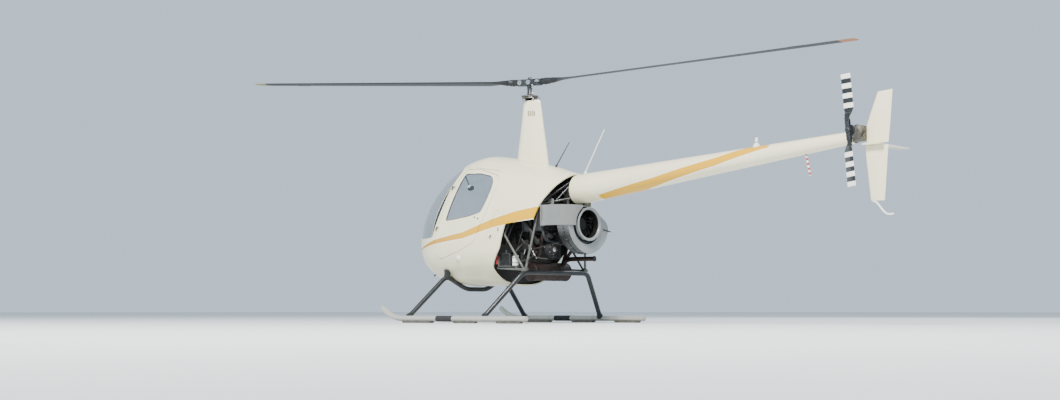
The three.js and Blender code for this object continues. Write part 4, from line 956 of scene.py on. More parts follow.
bars = Finish("barred_blade", "tail_blade_paint", Coat_Weight=0.5, Coat_Roughness=0.08)
centre = (TAIL["x"] / 1000 + MAST_X, TAIL["y"] / 1000, TAIL["z"] / 1000)
out = bars.vector("DOT_PRODUCT", bars.vector("SUBTRACT", bars.place, centre), tuple(tail_up), out=1)
out = bars.node("Math", {"operation": "ABSOLUTE"}, [out]) * 1000
bar = ((out - BARS["root"]) / BARS["pitch"]).past_whole()
bars.set(Base_Color=bars.mix(bar.step(0.5, 0.02) * out.step(BARS["root"], 2), hue("17181A"), hue("F0EFEA")),
         Roughness=0.28 + bars.noise(40) * 0.15)
head_steel = paint("head_steel", "hub_steel", "2E3033 565A5E", (25, 4), (0.3, 0.25, 100), Metallic=0.85)
links = []
for turn, number in [(1, "1"), (-1, "2")]:
    blade = skin(tail_place(foil_rings(TAIL_BLADE, 40, 0.5)[..., [0, 2, 1]], turn))
    cuff = tail_bar([(105, 1), (147, 1), (163, 0.7)], -9, 9, 22, turn)
    piece("tail_blade_skin_" + number, [blade, cuff], bars, "tail_rotor", "tail_blade_" + number)
    start, end = tail_place([(30, -40, 40), (112, -12, 32)], turn)
    links.append(rod(start, end, 4.5, sides=12))
    links += [lathe(p - (0, 8, 0), PORT, LINK_EYE, 16) for p in (start, end)]
    links.append(lathe(tail_place((92, -22, 0), turn), PORT, PIN, 6))
yoke = [axle(150.5, YOKE_SHAFT, 32), axle(164, [(0, 44), (2, 52), (10, 52), (12, 44)], 32)]
for low in (-16, 11):
    corners = [(low, -23), (low, 23), (low + 5, 23), (low + 5, -23)]
    yoke.append(skin(tail_place([[(a, y, z * b) for y, z in corners]
                                 for a, b in [(-104, 0.8), (-92, 1), (92, 1), (104, 0.8)]])))
yoke.append(tail_bar([(-46, 1), (46, 1)], -10, 10, 14))
piece("tail_yoke", yoke, head_steel, "tail_rotor", "tail_rotor_hub", bevel=1)
piece("tail_pitch_links", links, dark_fitting, "tail_rotor", slot="hub_steel", bevel=0.5)

# Main blades. Bonded steel and alloy blades, sprayed matt black and a little worn in patches,
# twisted towards the tip, where each carries an ochre band: khaki on the first blade as painted shade
# and orange-brown on the second as painted sunlight. A rubber boot joins each to the hub.
ROTOR = {"z": 2670, "hinge": 110, "coning": 3.2, "azimuth": 14.7, "band": 3660}
BLADE = [(285, 74, 64, 4), (330, 80, 56, 4.5), (430, 120, 34, 7), (520, 158, 27, 7.7), (600, 183, 24, 8),
         (1300, 183, 23, 6.5), (2000, 183, 22, 5), (2900, 183, 22, 3), (3600, 183, 22, 1.4),
         (3790, 183, 22, 1), (3822, 168, 18, 1), (3831, 156, 12, 1), (3835, 146, 3, 1)]
TAB = {"ends": (3130, 3300), "nose": 133, "tail": 156, "slope": 0.041}
BLADE_BOOT = [(2.4, 27), (4, 33), (40, 34), (44, 39), (56, 39), (60, 34), (70, 38), (76, 33), (86, 37),
              (92, 32), (102, 36), (108, 31), (150, 30)]


def rotor_turn(points, sign=1):
    """Places along +X turned about the mast to the rotor's azimuth, or to the far side for -1."""
    a = np.radians(ROTOR["azimuth"]) + (np.pi if sign < 0 else 0)
    x, y, z = np.moveaxis(np.asarray(points, float), -1, 0)
    return np.stack([x * np.cos(a) - y * np.sin(a), x * np.sin(a) + y * np.cos(a), z], -1)


def rotor_place(points, sign):
    """Places in a blade's own frame, lifted by the coning angle about its hinge, then turned."""
    b = np.radians(ROTOR["coning"])
    x, y, z = np.moveaxis(np.asarray(points, float), -1, 0)
    x = x - ROTOR["hinge"]
    lifted = np.stack([ROTOR["hinge"] + x * np.cos(b) - z * np.sin(b), y,
                       ROTOR["z"] + x * np.sin(b) + z * np.cos(b)], -1)
    return rotor_turn(lifted, sign)


def placed(part, place, *more):
    """A part with its points carried by place."""
    return place(part[0], *more), part[1]


# The same ochre tip paint in two tones: khaki is painted shade, orange-brown is painted sunlight.
for sign, number, tip in [(1, "1", "8C8350"), (-1, "2", "A9683A")]:
    black = Finish("matt_black_" + number, "main_blade_black")
    level = black.vector("MULTIPLY", black.vector("SUBTRACT", black.place, (MAST_X, 0, 0)), (1, 1, 0))
    reach = black.vector("LENGTH", level, out=1) * 1000
    worn = black.noise(6, 5, (0.3, 0.3, 1))
    coat = black.mix(worn.step(0.55, 0.4) * 0.6, hue("101113"), hue("222325"))
    black.set(Base_Color=black.mix(reach.step(ROTOR["band"], 6), coat, hue(tip)), Roughness=0.42 + worn * 0.2)
    black.bump(black.noise(500, 2), 0.08, 0.0003)
    blade = skin(rotor_place(foil_rings(BLADE, 90), sign))
    boot = lathe((150, 0, 0), FORE, BLADE_BOOT)
    tab = vane([(*[(x, -y, -y * TAB["slope"]) for y in (TAB["nose"], TAB["tail"])], 0.9)
                for x in TAB["ends"]], UP)
    piece("main_blade_skin_" + number, [blade, placed(tab, rotor_place, sign)], black, "main_rotor",
          "main_blade_" + number)
    piece("blade_boot_" + number, [placed(boot, rotor_place, sign)], dark_fitting, "main_rotor",
          slot="main_blade_black")

# Rotor head. A forged steel bar teeters on the mast between three big pins with bright nuts; below
# it the swashplate carries two pitch links up to the horns of the blades.
BAR_SIDE = [(-152, 30), (-120, 46), (-60, 46), (-34, 38), (34, 38), (60, 46), (120, 46), (152, 30)]
BAR_LOW, BAR_TOP = 2634, 2704
HORN = [(50, -32), (96, -32), (150, -46), (150, -94), (112, -94), (74, -76), (50, -74)]
MAST_ROWS = [(0, 29), (34.5, 29), (40, 33), (60, 33), (66, 29), (120, 29), (128, 36), (144, 36), (146, 30),
             (222, 30), (226, 24), (234, 22), (239.8, 16)]
PIN_NUT = [(0, 25), (5, 25), (5.1, 19), (19, 19), (20, 11), (32, 11), (34, 8)]
PIN_WASHER = [(0, 27), (7, 27), (7.2, 24)]
LINK = {"x": 64, "y": -58, "low": 2540, "top": BAR_LOW}
SWASH_DISH = [(0, 40), (0.3, 70), (3, 84), (13, 84), (14, 66), (17, 66), (18, 96), (31, 96), (34, 88),
              (34, 44), (30, 38)]
bar_plan = rounded([(x, -y) for x, y in BAR_SIDE] + BAR_SIDE[::-1], 16)
head = [plate(bar_plan, BAR_LOW, BAR_TOP, 2), lathe((0, 0, 2488.2), UP, MAST_ROWS, 40)]
bright = [part for x in (-ROTOR["hinge"], 0, ROTOR["hinge"]) for s in (1, -1)
          for part in (lathe((x, s * 44, ROTOR["z"]), s * PORT, PIN_NUT, 6),
                       lathe((x, s * 40, ROTOR["z"]), s * PORT, PIN_WASHER))]
bright += bolts((0, 0, BAR_TOP), UP, 40, 4, 7, 8, 0.5)
for s in (1, -1):
    head.append(plate(rounded([(s * x, s * y) for x, y in HORN], 10), 2641, 2663, 2))
    head.append(brick(s * 156, s * 184, -30, 30, 2696, 2708))
    low, top = (np.array([s * LINK["x"], s * LINK["y"], LINK[end]], float) for end in ("low", "top"))
    bright += [rod(low, top, 5.5, sides=14), rod(low - (0, 0, 12), low, 9, sides=14)]
    bright += [lathe(p - (0, 11, 0), PORT, [(0, 6), (3, 11), (19, 11), (22, 6)], 16) for p in (low, top)]
    bright += [disc(low + (0, 0, z), UP, 12, 9.5, 6) for z in (22, 60)]
    bright += bolts((s * 130, s * -70, 2663), UP, 12, 3, 5, 6) + bolts((s * 100, 0, BAR_TOP), UP, 24, 2, 7, 7)
piece("rotor_head", [placed(p, rotor_turn) for p in head], head_steel, "main_rotor", "rotor_hub", bevel=3)
piece("head_bolts_and_links", [placed(p, rotor_turn) for p in bright], bright_steel, "main_rotor")
dish = less(lathe((0, 0, 2488), UP, SWASH_DISH, 56), rod((0, 0, 2400), (0, 0, 2600), 34, sides=40))
lugs = [brick(-18, 18, s * 92 - 12, s * 92 + 12, 2490, 2501) for s in (1, -1)]
piece("swash_dish", [dish, *lugs], cast_alloy, nodes="swashplate", bevel=0.8)
bellows = [(0, 44)] + [(2 + 3.4 * k, 50 if k % 2 else 57) for k in range(6)] + [(20.8, 48), (21.5, 42)]
mast_boot = less(lathe((0, 0, 2466.3), UP, bellows, 48), rod((0, 0, 2400), (0, 0, 2500), 38.4, sides=40))
piece("mast_boot", [mast_boot], dark_fitting, slot="belt_rubber")
arms = [bent([(20 * s - 92, s * 40, 2462), (-108, s * 52, 2480), (-96, s * 70, 2497), (-60, s * 78, 2496)],
             6, 12, 18) for s in (1, -1)]
arms += [bent([(60, s * 30, 2462), (84, s * 44, 2484), (72, s * 66, 2496)], 6, 12, 14) for s in (1, -1)]
piece("swash_rods", arms, bright_steel)

# Landing gear. Two steel cross tubes bent down and out end in the skid tubes, turned up in front;
# each skid has three wear shoes below, thin bands round it and a strip of step tape.
SKID = {"y": 933, "r": 31.5, "z": 48, "rear": -860, "bend": 1110, "sides": 28}
SHOES = [(-800, -420), (-120, 240), (560, 1060)]
CLIPS = (-790, -452, -110, 208, 570, 1028)
TREAD = (250, 500)
LEG = 26
# x at the skid and at the elbow, the elbow's y and z, and the height at the keel
GEAR = {"front": (985, 870, 452, 520, 376), "rear": (-205, -396, 505, 546, 546)}
ELBOW_SLEEVE = [(0, 40), (6, 36), (30, 30), (46, 27)]
gear_paint = Finish("grey_gear_paint", "skid_paint", Metallic=0.25, Coat_Weight=0.2)
scuff = gear_paint.noise(14, 5)
gear_paint.set(Base_Color=gear_paint.mix(scuff.step(0.6, 0.3) * 0.6, hue("15171A"), hue("34373A")),
               Roughness=0.36 + scuff * 0.25)
skid_paint = Finish("skid_paint", "skid_paint", Metallic=0.3, Coat_Weight=0.2)
wear = skid_paint.noise(9, 6) * (1 - skid_paint.z.step(0.03, 0.04))
skid_paint.set(Base_Color=skid_paint.mix((wear * 1.6).held(), hue("B4B3AC"), hue("5F5B55")),
               Roughness=0.34 + skid_paint.noise(60) * 0.25)
tread = paint("step_tape", "instrument_black", "1A1A1B 36363A", (300, 2), (0.9,), (700, 2, 0.6, 0.0006))


def skid_sleeve(x, y, long, grow):
    """A thin sleeve round a skid tube, from x forward."""
    return disc((x, y, SKID["z"]), FORE, long, SKID["r"] + grow, SKID["sides"])


for s, where in [(1, "left"), (-1, "right")]:
    y, z, bend = s * SKID["y"], SKID["z"], SKID["bend"]
    run = bent([(SKID["rear"], y, z), (bend, y, z), (bend + 160, y, z + 36), (bend + 290, y, z + 118)],
               SKID["r"], SKID["sides"], 70, 8, 0.94)
    shoes = [plate(rounded([(a, 40), (a + 14, 6), (a + 30, 0), (b - 30, 0), (b - 14, 6), (b, 40)], 6),
                   y - 24, y + 24, 1) for a, b in SHOES]
    piece("skid_tube_" + where, [run, *[skid_sleeve(x, y, 22, 1.5) for x in CLIPS]], skid_paint,
          nodes="skid_" + where)
    piece("skid_shoes_" + where, shoes, cast_alloy, bevel=1.5)
    piece("skid_tread_" + where, [skid_sleeve(TREAD[0], y, TREAD[1] - TREAD[0], 0.8)], tread)
skid_runs = {s: skid_sleeve(-2000, s * SKID["y"], 4000, 0.2) for s in (1, -1)}
belly = within(hull(-0.4), brick(130, 1600, -BESIDE, BESIDE, 0, 900))
for where, (x0, x1, y_elbow, z_elbow, z_mid) in GEAR.items():
    path = [(x0, SKID["y"] - 3, SKID["z"] + 4), (x1, y_elbow, z_elbow), (x1 - 20, 160, z_mid)]
    path = path + [(x1 - 20, 0, z_mid)] + [(x, -y, z) for x, y, z in path[::-1]]
    sleeves = []
    for s in (1, -1):
        foot = np.array([x0, s * (SKID["y"] - 3), SKID["z"] + 4.0])
        up = unit(np.array([x1, s * y_elbow, z_elbow]) - foot)
        sleeves.append(less(lathe(foot + up * 24, up, ELBOW_SLEEVE, 28), skid_runs[s]))
    tools = [*skid_runs.values(), *([belly] if where == "front" else [])]
    piece("cross_tube_" + where, [less(bent(path, LEG, 24, 70, 8), *tools), *sleeves], gear_paint,
          nodes="gear_" + where)

# Engine frame. Thin steel tubes welded into triangles carry the engine, the boom and the rear cross
# tube; a round knot of weld fills each main joint. They are sprayed grey, and above 1.33 m painted near
# black as the shade under the cowl.
FRAME_R = 13
SHAFT_Z = 1440
SIDE_RUNS = [((-370, 470, 582), (-75, 475, 960)), ((-395, 470, 580), (-500, 358, 1290)),
             ((-375, 470, 577), (70, 425, 600)), ((-500, 358, 1290), (-732, 100, 1530)),
             ((-500, 300, 1290), (-732, 100, 1348)), ((-75, 475, 960), (-75, 300, 1290)),
             ((-75, 300, 1290), (-500, 358, 1290))]
CROSS_RUNS = [((-500, 358, 1290), (-500, -358, 1290)), ((-75, 300, 1290), (-75, -300, 1290))]
WELDS = [(-385, 470, 579), (-75, 475, 960), (-500, 358, 1290), (-75, 300, 1290)]
FRAME_LUGS = [(-250, 34, 388, 462, 614, 620), (-246, -222, 430, 458, 590, 615),
              (-508, -492, 68, 92, 1180, 1290), (-508, -492, -92, -68, 1180, 1290),
              (-83, -67, 68, 92, 1290, 1360), (-83, -67, -92, -68, 1290, 1360),
              (-708, -692, 118, 138, 1262, 1345)]
STAYS = [((-722, 128, 1480), (-441, 280, 1153), 6), ((-655, 164, 1402), (-420, 200, 1153), 4.5)]


def ball(at, radius, sides=20):
    """A sphere: the profile of a half circle turned about the upright through its middle."""
    turn = np.linspace(0, np.pi, sides // 2 + 1)
    profile = np.stack([radius - radius * np.cos(turn), radius * np.sin(turn)], -1)
    return lathe(np.array(at, float) - (0, 0, radius), UP, profile, sides)


tube_grey = Finish("grey_frame_paint", "tube_grey", Metallic=0.3, Coat_Weight=0.15)
oily = tube_grey.noise(10, 5)
sprayed = tube_grey.mix(oily.step(0.62, 0.2) * 0.8, hue("5C5D58"), hue("232221"))
# Above 1.33 m the tubes are painted near black: painted shade under the cowl.
tube_grey.set(Base_Color=tube_grey.mix(tube_grey.z.step(1.33, 0.08), sprayed, hue("191918")),
              Roughness=0.35 + oily * 0.3)
runs = []
for s in (1, -1):
    runs += [rod(*[np.multiply(p, (1, s, 1)) for p in run], FRAME_R, sides=18) for run in SIDE_RUNS]
    runs += [ball(np.multiply(p, (1, s, 1)), 17) for p in WELDS]
    runs.append(lathe((-412, s * 470, 568), (57, 0, 6), [(0, 20), (4, 33), (50, 33), (56, 22)], 28))
runs += [rod(a, b, FRAME_R, sides=18) for a, b in CROSS_RUNS]
runs.append(less(disc((-745.8, 0, SHAFT_Z), FORE, 21.8, 150, 64),
                 disc((-800, 0, SHAFT_Z), FORE, 100, 122, 64)))
piece("engine_frame", runs + [brick(*lug) for lug in FRAME_LUGS], tube_grey, nodes="frame_tubes")
stays = [rod(start, end, radius, sides=14) for start, end, radius in STAYS]
piece("bay_stays", [*stays, ball(STAYS[1][0], 11), ball(STAYS[0][0], 9)], bright_steel)
piece("boom_ring_bolts", bolts((-745, 0, SHAFT_Z), -FORE, 136, 10, 7, 6)
      + bolts((-724, 0, SHAFT_Z), FORE, 136, 10, 6, 5), bright_steel)

# Engine. An air-cooled flat four, cast alloy, mostly black with soot and oil: split crankcase,
# finned barrels with rocker covers, push rod tubes, induction pipes, magnetos and ignition leads.
ENGINE = {"rear": -590, "front": -190, "half": 118, "low": 940, "top": 1180, "z": 1065}
SUMP = [(-95, 862), (95, 862), (95, 950), (-95, 950)]
FINS = {"count": 19, "first": 48, "pitch": 9.6, "root": 66, "small": 74, "big": 80}
BARREL_X = (-300, -478)
MAGNETO = [(0, 34), (40, 36), (44, 28), (78, 26), (84, 20)]
STARTER = [(0, 40), (4, 62), (30, 66), (34, 60), (38, 66), (60, 66), (66, 50), (84, 30)]
STARTER_WHEEL = [(0, 44), (3, 50), (8, 42), (12, 50), (18, 50), (20, 20)]
TURNED = [((-640, 300, 790), FORE, STARTER, 36), ((-660, 300, 790), FORE, STARTER_WHEEL, 36),
          ((-580, 262, 940), (0, 68, 10), [(0, 26), (6, 34), (50, 36), (60, 30), (66, 10)], 28),
          ((-300, 150, 800), (0, 80, -10), [(0, 30), (8, 40), (60, 40), (72, 32), (78, 10)], 28),
          ((-150, 260, 900), FORE, [(0, 30), (4, 44), (36, 44), (40, 30)], 28),
          ((-200, 330, 680), UP, [(0, 20), (6, 28), (80, 28), (90, 18), (100, 8)], 24),
          ((-330, 250, 690), FORE, [(0, 22), (4, 34), (70, 34), (76, 20)], 24),
          ((-440, 300, 880), PORT, [(0, 24), (5, 34), (46, 34), (60, 12)], 28),
          ((-80, 150, 760), PORT, [(0, 30), (8, 38), (60, 38), (76, 16)], 28)]
BOXES = [(-330, -210, 352, 366, 800, 900), (-120, -70, 330, 352, 860, 990),
         (-460, -340, 330, 338, 1150, 1210), (-260, -140, 300, 316, 1120, 1200),
         (-640, -560, 250, 300, 700, 724), (-520, -440, 120, 230, 786, 850), (-230, -170, 60, 150, 800, 930)]
BRIGHT_RODS = [((-560, 300, 790), (-500, 300, 830), 7), ((-420, 330, 700), (-300, 330, 860), 6),
               ((-210, 330, 690), (-260, 300, 900), 6)]
# Path, radius, sides and reach of each bend
HOSES = [([(-140, 430, 700), (-190, 455, 720), (-240, 440, 800), (-250, 330, 880), (-232, 140, 900)],
          11, 12, 50),
         ([(-130, 420, 650), (-200, 380, 660), (-340, 330, 700), (-400, 200, 860)], 11, 12, 60),
         ([(-560, 270, 800), (-520, 200, 760), (-420, 150, 780), (-380, 110, 870)], 8, 12, 40),
         ([(-100, 300, 1020), (-160, 350, 1000), (-250, 380, 900), (-300, 340, 820)], 9, 12, 50),
         ([(-100, -300, 1020), (-160, -350, 1000), (-250, -380, 900), (-300, -340, 820)], 9, 12, 50),
         ([(-110, 240, 1180), (-190, 372, 1160), (-330, 392, 1080), (-420, 384, 960), (-440, 330, 880)],
          14, 12, 60),
         ([(-200, 330, 770), (-210, 340, 840), (-300, 372, 860), (-400, 350, 800), (-560, 330, 830)],
          7, 10, 40),
         ([(-80, 220, 760), (-140, 300, 790), (-200, 392, 820), (-260, 400, 960), (-270, 366, 1060)],
          6, 10, 40),
         ([(-330, 366, 850), (-380, 390, 760), (-480, 380, 700), (-560, 300, 690)], 8, 10, 50),
         ([(0, 380, 850), (-60, 420, 900), (-110, 400, 1040), (-130, 330, 1150)], 10, 12, 60)]
engine_black = paint("sooty_casting", "engine_black", "0B0B0C 2A2826", (16, 6), (0.45, 0.3, 70),
                     (260, 3, 0.3, 0.0005), Metallic=0.35)
cover_grey = paint("rocker_cover_grey", "engine_black", "222325 5C5E5F", (22, 5), (0.38, 0.3, 80),
                   Metallic=0.6)
lead = paint("ignition_lead", "belt_rubber", "24211F", None, (0.5, 0.2, 60))
half, low, top = (ENGINE[key] for key in ("half", "low", "top"))
case_outline = rounded([(-half, low), (half, low), (half, 1120), (84, top), (-84, top), (-half, 1120)], 24)
block = [plate(case_outline, ENGINE["rear"], ENGINE["front"], 0), plate(rounded(SUMP, 18), -480, -240, 0),
         brick(ENGINE["rear"] - 2, ENGINE["front"] + 2, -5, 5, top - 4, top + 12),
         brick(-360, -410, -5, 5, 930, 1190),
         rod((-682.6, 0, ENGINE["z"]), (-580, 0, ENGINE["z"]), 30, sides=28),
         lathe((-600, 0, ENGINE["z"]), -FORE, [(0, 70), (12, 70), (13, 52), (30, 48)], 40)]
barrel = [(0, 62), (46, 62)]
for k in range(FINS["count"]):
    y, wide = FINS["first"] + FINS["pitch"] * k, FINS["big"] if k > 2 else FINS["small"]
    barrel += [(y, FINS["root"]), (y + 1, wide), (y + 4.4, wide), (y + 5.4, FINS["root"])]
barrel += [(236, FINS["root"]), (238, 60)]
covers, pipes, leads = [], [], []
for s in (1, -1):
    for k, x in enumerate(BARREL_X):
        block.append(lathe((x, s * 100, ENGINE["z"]), s * PORT, barrel, 40))
        shape = rounded([(x - 62, 992), (x + 62, 992), (x + 62, 1112), (x + 40, 1140), (x - 40, 1140),
                         (x - 62, 1112)], 16)
        covers += [plate(form, *sorted((s * near, s * far)), 1)
                   for form, near, far in [(shape, 334, 366), (inset(shape, 9), 364, 372)]]
        covers += bolts((x, s * 366, ENGINE["z"]), s * PORT, 56, 6, 6, 5, 0.5)
        pipes += [rod((x + dx, s * 112, 968), (x + dx, s * 338, 1000), 9, sides=14) for dx in (-28, 28)]
        pipes.append(bent([(x, s * 60, 880), (x, s * 190, 872), (x - 30, s * 300, 930),
                           (x - 30, s * 318, 1000)], 21, 18, 60))
        for z, drop in ((1128, 0), (1004, 26)):
            leads.append(bent([(-640, s * (70 + 6 * k), 1196 + 5 * k), (-668, s * (110 + 12 * k), 1200),
                               (-600 + 40 * k, s * 220, 1196 - drop), (x + 20, s * 300, z + 34),
                               (x + 4, s * 326, z)], 4, 8, 50))
piece("engine_block", block, engine_black, nodes="engine", bevel=1)
piece("rocker_covers", covers, cover_grey, bevel=2)
piece("induction_pipes", pipes, cover_grey)
extras = [lathe((-560, s * 70, 1196), -FORE, MAGNETO, 28) for s in (1, -1)]
extras += [lathe(*row) for row in TURNED] + [brick(*box) for box in BOXES]
piece("engine_extras", extras, engine_black, bevel=2)
rings = [lathe((-664, 300, 790), FORE, [(0, 20), (2, 24), (6, 24), (7, 20)])]
rings += bolts((-640, 300, 790), -FORE, 55, 6, 5, 5) + bolts((-300, 232, 790), PORT, 20, 6, 4, 4)
rings += [rod(start, end, radius, sides=12) for start, end, radius in BRIGHT_RODS]
piece("engine_bright_parts", rings, bright_steel)
piece("leads_and_hoses", leads + [bent(*row) for row in HOSES], lead)

# Cooling fan, scroll and duct. A grey moulded scroll with a raised rim and a bell-shaped inlet that
# faces aft, bolted round a black fan; its duct leads the air forward round the port side.
VOLUTE = [(290, 1262), (290, 1060), (258, 950), (200, 862), (110, 790), (20, 752), (-77, 742), (-207, 795),
          (-313, 895), (-350, 1000), (-345, 1050), (-314, 1098), (-209, 1167), (-105, 1240), (-60, 1262)]
INLET = {"bore": 150, "y": -8, "z": 1065, "recess": 216, "face": -850}
BELL = [(-36, 204), (-33, 190), (-26, 181), (-12, 176), (20, 174), (30, 177), (37, 181), (42, 182),
        (45.5, 179), (46, 172)]
MOUTH = [(-90, INLET["bore"]), (18, INLET["bore"]), (30, 152), (38, 157), (44, 165), (47, 174)]
FAN_CORE = [(0, 24), (4, 60), (10, 66), (76, 74), (84, 155), (92, 155), (92.2, 34), (113, 30)]
BLADES = {"count": 14, "root": 62, "tip": 153, "rear": -800.0, "front": -712.0, "half": 3.0, "lean": 0.35}
DUCT = {"cheek": [(-894, 105), (-893, 180), (-877, 244), (-856, 296)], "clear": 207,
        "outer": [(-856, 296), (-814, 400), (-655, 428), (-548, 396)], "low": 1046, "high": 1267,
        "inner": [(-548, 350), (-600, 360), (-670, 336), (-682, 290.4), (-850, 290.4), (-850, 105)]}
# Side sheets of the baffles: plan or side view, from, to and the axis across the sheet
BAFFLES = [([(-640, 120), (-556, 352), (-180, 352), (-180, 120)], 1150, 1153, 2),
           ([(-640, -120), (-556, -352), (-180, -352), (-180, -120)], 1150, 1153, 2),
           ([(-590, 1045), (-548, 1045), (-520, 1262), (-600, 1262)], 346, 350, 1),
           ([(-547, 1262), (-547, 1052), (-500, 1052), (-440, 1120), (-452, 1230)], 376, 380, 1)]
SIDE_BAFFLE = [(-479, 1322), (-567, 1352), (-603, 1336), (-598, 1153), (-470, 1153)]
fan_grey = Finish("grey_moulding", "fan_grey", Coat_Weight=0.35, Coat_Roughness=0.15)
smudge = fan_grey.noise(7, 6)
sideways, upward = fan_grey.y - INLET["y"] / 1000, fan_grey.z - INLET["z"] / 1000
out_square = (sideways * sideways + upward * upward) * 1000
aft = (MAST_X - 0.847) - fan_grey.x
# The scroll's side wall low down, the recess round the bell and the inside of the bore are painted near
# black: painted shade.
side_wall_shade = (1 - aft.step(0, 0.002)) * (1 - fan_grey.z.step(1.03, 0.12)) * (out_square > 50)
recess_shade = (1 - aft.step(0, 0.002)) * (out_square > 29) * (out_square < 50)
bore_shade = (out_square < 23.6) * (1 - aft.step(0.032, 0.016))
moulded = fan_grey.mix(smudge.step(0.5, 0.5), hue("8F9293"), hue("767A7C"))
for share, tone in [(side_wall_shade, "2B2D2E"), (recess_shade, "232526"), (bore_shade, "141516")]:
    moulded = fan_grey.mix(share, moulded, hue(tone))
fan_grey.set(Base_Color=moulded, Roughness=0.3 + smudge * 0.25)
fan_grey.bump(fan_grey.noise(300, 2), 0.12, 0.0004)
# The duct is the scroll's grey painted a little darker, as painted shade, and its underside near black, also
# painted shade.
shaded_duct_grey = Finish("grey_duct_shaded", "fan_grey", Coat_Weight=0.35, Coat_Roughness=0.15)
film = shaded_duct_grey.noise(6, 5, (1, 1, 0.5))
duct_underside_shade = 1 - shaded_duct_grey.z.step(1.0475, 0.001)
sheet = shaded_duct_grey.mix(film, hue("6F7170"), hue("7F8180"))
shaded_duct_grey.set(Base_Color=shaded_duct_grey.mix(duct_underside_shade, sheet, hue("262829")), Roughness=0.22 + film * 0.16)
shaded_duct_grey.bump(shaded_duct_grey.noise(300, 2), 0.12, 0.0004)
fan_black = paint("fan_black", "engine_black", "040404 0B0B0B", (20,), (0.75,))
shroud_black = paint("baffle_sheet", "engine_black", "222326 3B3B3D", (9, 5), (0.45, 0.25, 60), Metallic=0.4)
volute = rounded(VOLUTE, 44, 8)


def inlet(profile):
    """A turned part on the inlet's line, its profile measured aft from the scroll's rear face."""
    return lathe((INLET["face"], INLET["y"], INLET["z"]), -FORE, profile, 72)


def sweep(corners, parts):
    """A smooth plan curve: the four-point polynomial with those corners, from the first to the last."""
    t = np.linspace(0, 1, parts)[:, None]
    shares = (1 - t) ** 3, 3 * t * (1 - t) ** 2, 3 * t ** 2 * (1 - t), t ** 3
    return sum(share * np.array(at) for share, at in zip(shares, corners))


def fan_blade(lean, rows=8):
    """A blade standing on the core; it leans more and more as it runs outwards."""
    r = np.linspace(BLADES["root"], BLADES["tip"], rows)[:, None]
    turn = lean + BLADES["lean"] * ((r - BLADES["root"]) / (BLADES["tip"] - BLADES["root"])) ** 1.5
    x = np.array([BLADES["rear"], BLADES["rear"], BLADES["front"], BLADES["front"]])
    thick = np.array([-1, 1, 1, -1]) * BLADES["half"]
    y, z = r * np.cos(turn) - thick * np.sin(turn), r * np.sin(turn) + thick * np.cos(turn)
    return skin(np.stack([np.broadcast_to(x, y.shape), y, z + ENGINE["z"]], -1))


recess = within(inlet([(-34, INLET["recess"]), (12, INLET["recess"])]),
                plate(inset(volute, 12), -870, -810, 0))
scroll = cut(plate(volute, INLET["face"], -684, 0), ("DIFFERENCE", recess), ("UNION", inlet(BELL)),
             ("DIFFERENCE", plate(inset(volute, 6), -810, -690, 0)), ("DIFFERENCE", inlet(MOUTH)),
             ("DIFFERENCE", rod((-700, 0, ENGINE["z"]), (-650, 0, ENGINE["z"]), 60, sides=48)))
seam = less(plate(inset(volute, -7), -772, -766, 0), plate(inset(volute, 2), -800, -700, 0))
piece("fan_housing", [scroll], fan_grey, nodes="fan_scroll", bevel=2.5)
piece("fan_housing_seam", [seam], fan_grey, bevel=1)
piece("fan_housing_studs", [disc((-774, y, z), FORE, 10, 5, 6) for y, z in inset(volute, -3)[::8]],
      bright_steel)
piece("fan_housing_stay", [rod((-846, -300, 1006), (-862, -372, 992), 7, sides=14),
                           rod((-846, -296, 1007), (-846, -270, 1012), 10, sides=14)], dark_fitting)
wheel = [fan_blade(2 * np.pi * k / BLADES["count"]) for k in range(BLADES["count"])]
piece("fan_blades", [lathe((-796, 0, ENGINE["z"]), FORE, FAN_CORE, 56), *wheel], fan_black, nodes="fan_wheel")
duct_plan = np.concatenate([sweep(DUCT["cheek"], 25), sweep(DUCT["outer"], 41)[1:], DUCT["inner"]])
duct = less(plate(duct_plan, DUCT["low"], DUCT["high"], 2),
            inlet([(-10, DUCT["clear"]), (80, DUCT["clear"])]))
piece("air_duct", [duct], shaded_duct_grey, nodes="cooling_duct", sharp=50, bevel=5)
piece("air_duct_flange", [brick(-551, -545, 346, 402, DUCT["low"] - 4, DUCT["high"] + 4)], fan_grey, bevel=1)
saddle = less(brick(-852, -770, -22, 22, 1258, 1300), boom_tube([-900, -760], 0.3))
piece("boom_saddle", [saddle, brick(-846, -776, -34, 34, 1262, 1269)], cast_alloy, bevel=1.5)
shroud = [plate(*row) for row in BAFFLES]
shroud += [brick(-556, -180, s * y - half, s * y + half, 1142, high) for s in (1, -1)
           for y, half, high in [(352, 1.5, 1200), (330, 2, 1180)]]
piece("bay_side_baffle", [plate(SIDE_BAFFLE, 248, 251, 1)], fan_grey, bevel=0.8)
piece("cooling_baffles", shroud, shroud_black, bevel=0.8)

# Belt drive. Two rubber belts run from the grooved alloy wheel on the crankshaft up to the one on
# the drive shaft, which goes aft into the boom and forward into the main gearbox.
SHEAVE = {"x": -672, "low": 84, "high": 112}
COUPLING = [(0, 30), (4, 46), (14, 46), (15, 60), (19, 60), (20, 46), (30, 46), (36, 30)]
BELT_X, BELT_WIDTH = (-668, -642), 15


def grooved(z, radius, bore):
    """A belt wheel: a rim with two V grooves, a thinner web and a hub, turned round its shaft."""
    rows = [(0, bore), (0.1, radius), (3, radius), (9, radius - 9), (14, radius - 9), (20, radius),
            (29, radius), (35, radius - 9), (40, radius - 9), (46, radius), (50, radius), (50.1, radius - 22),
            (32, radius - 24), (32, bore + 18), (56, bore + 16), (56.1, bore)]
    return lathe((SHEAVE["x"], 0, z), FORE, rows, 56)


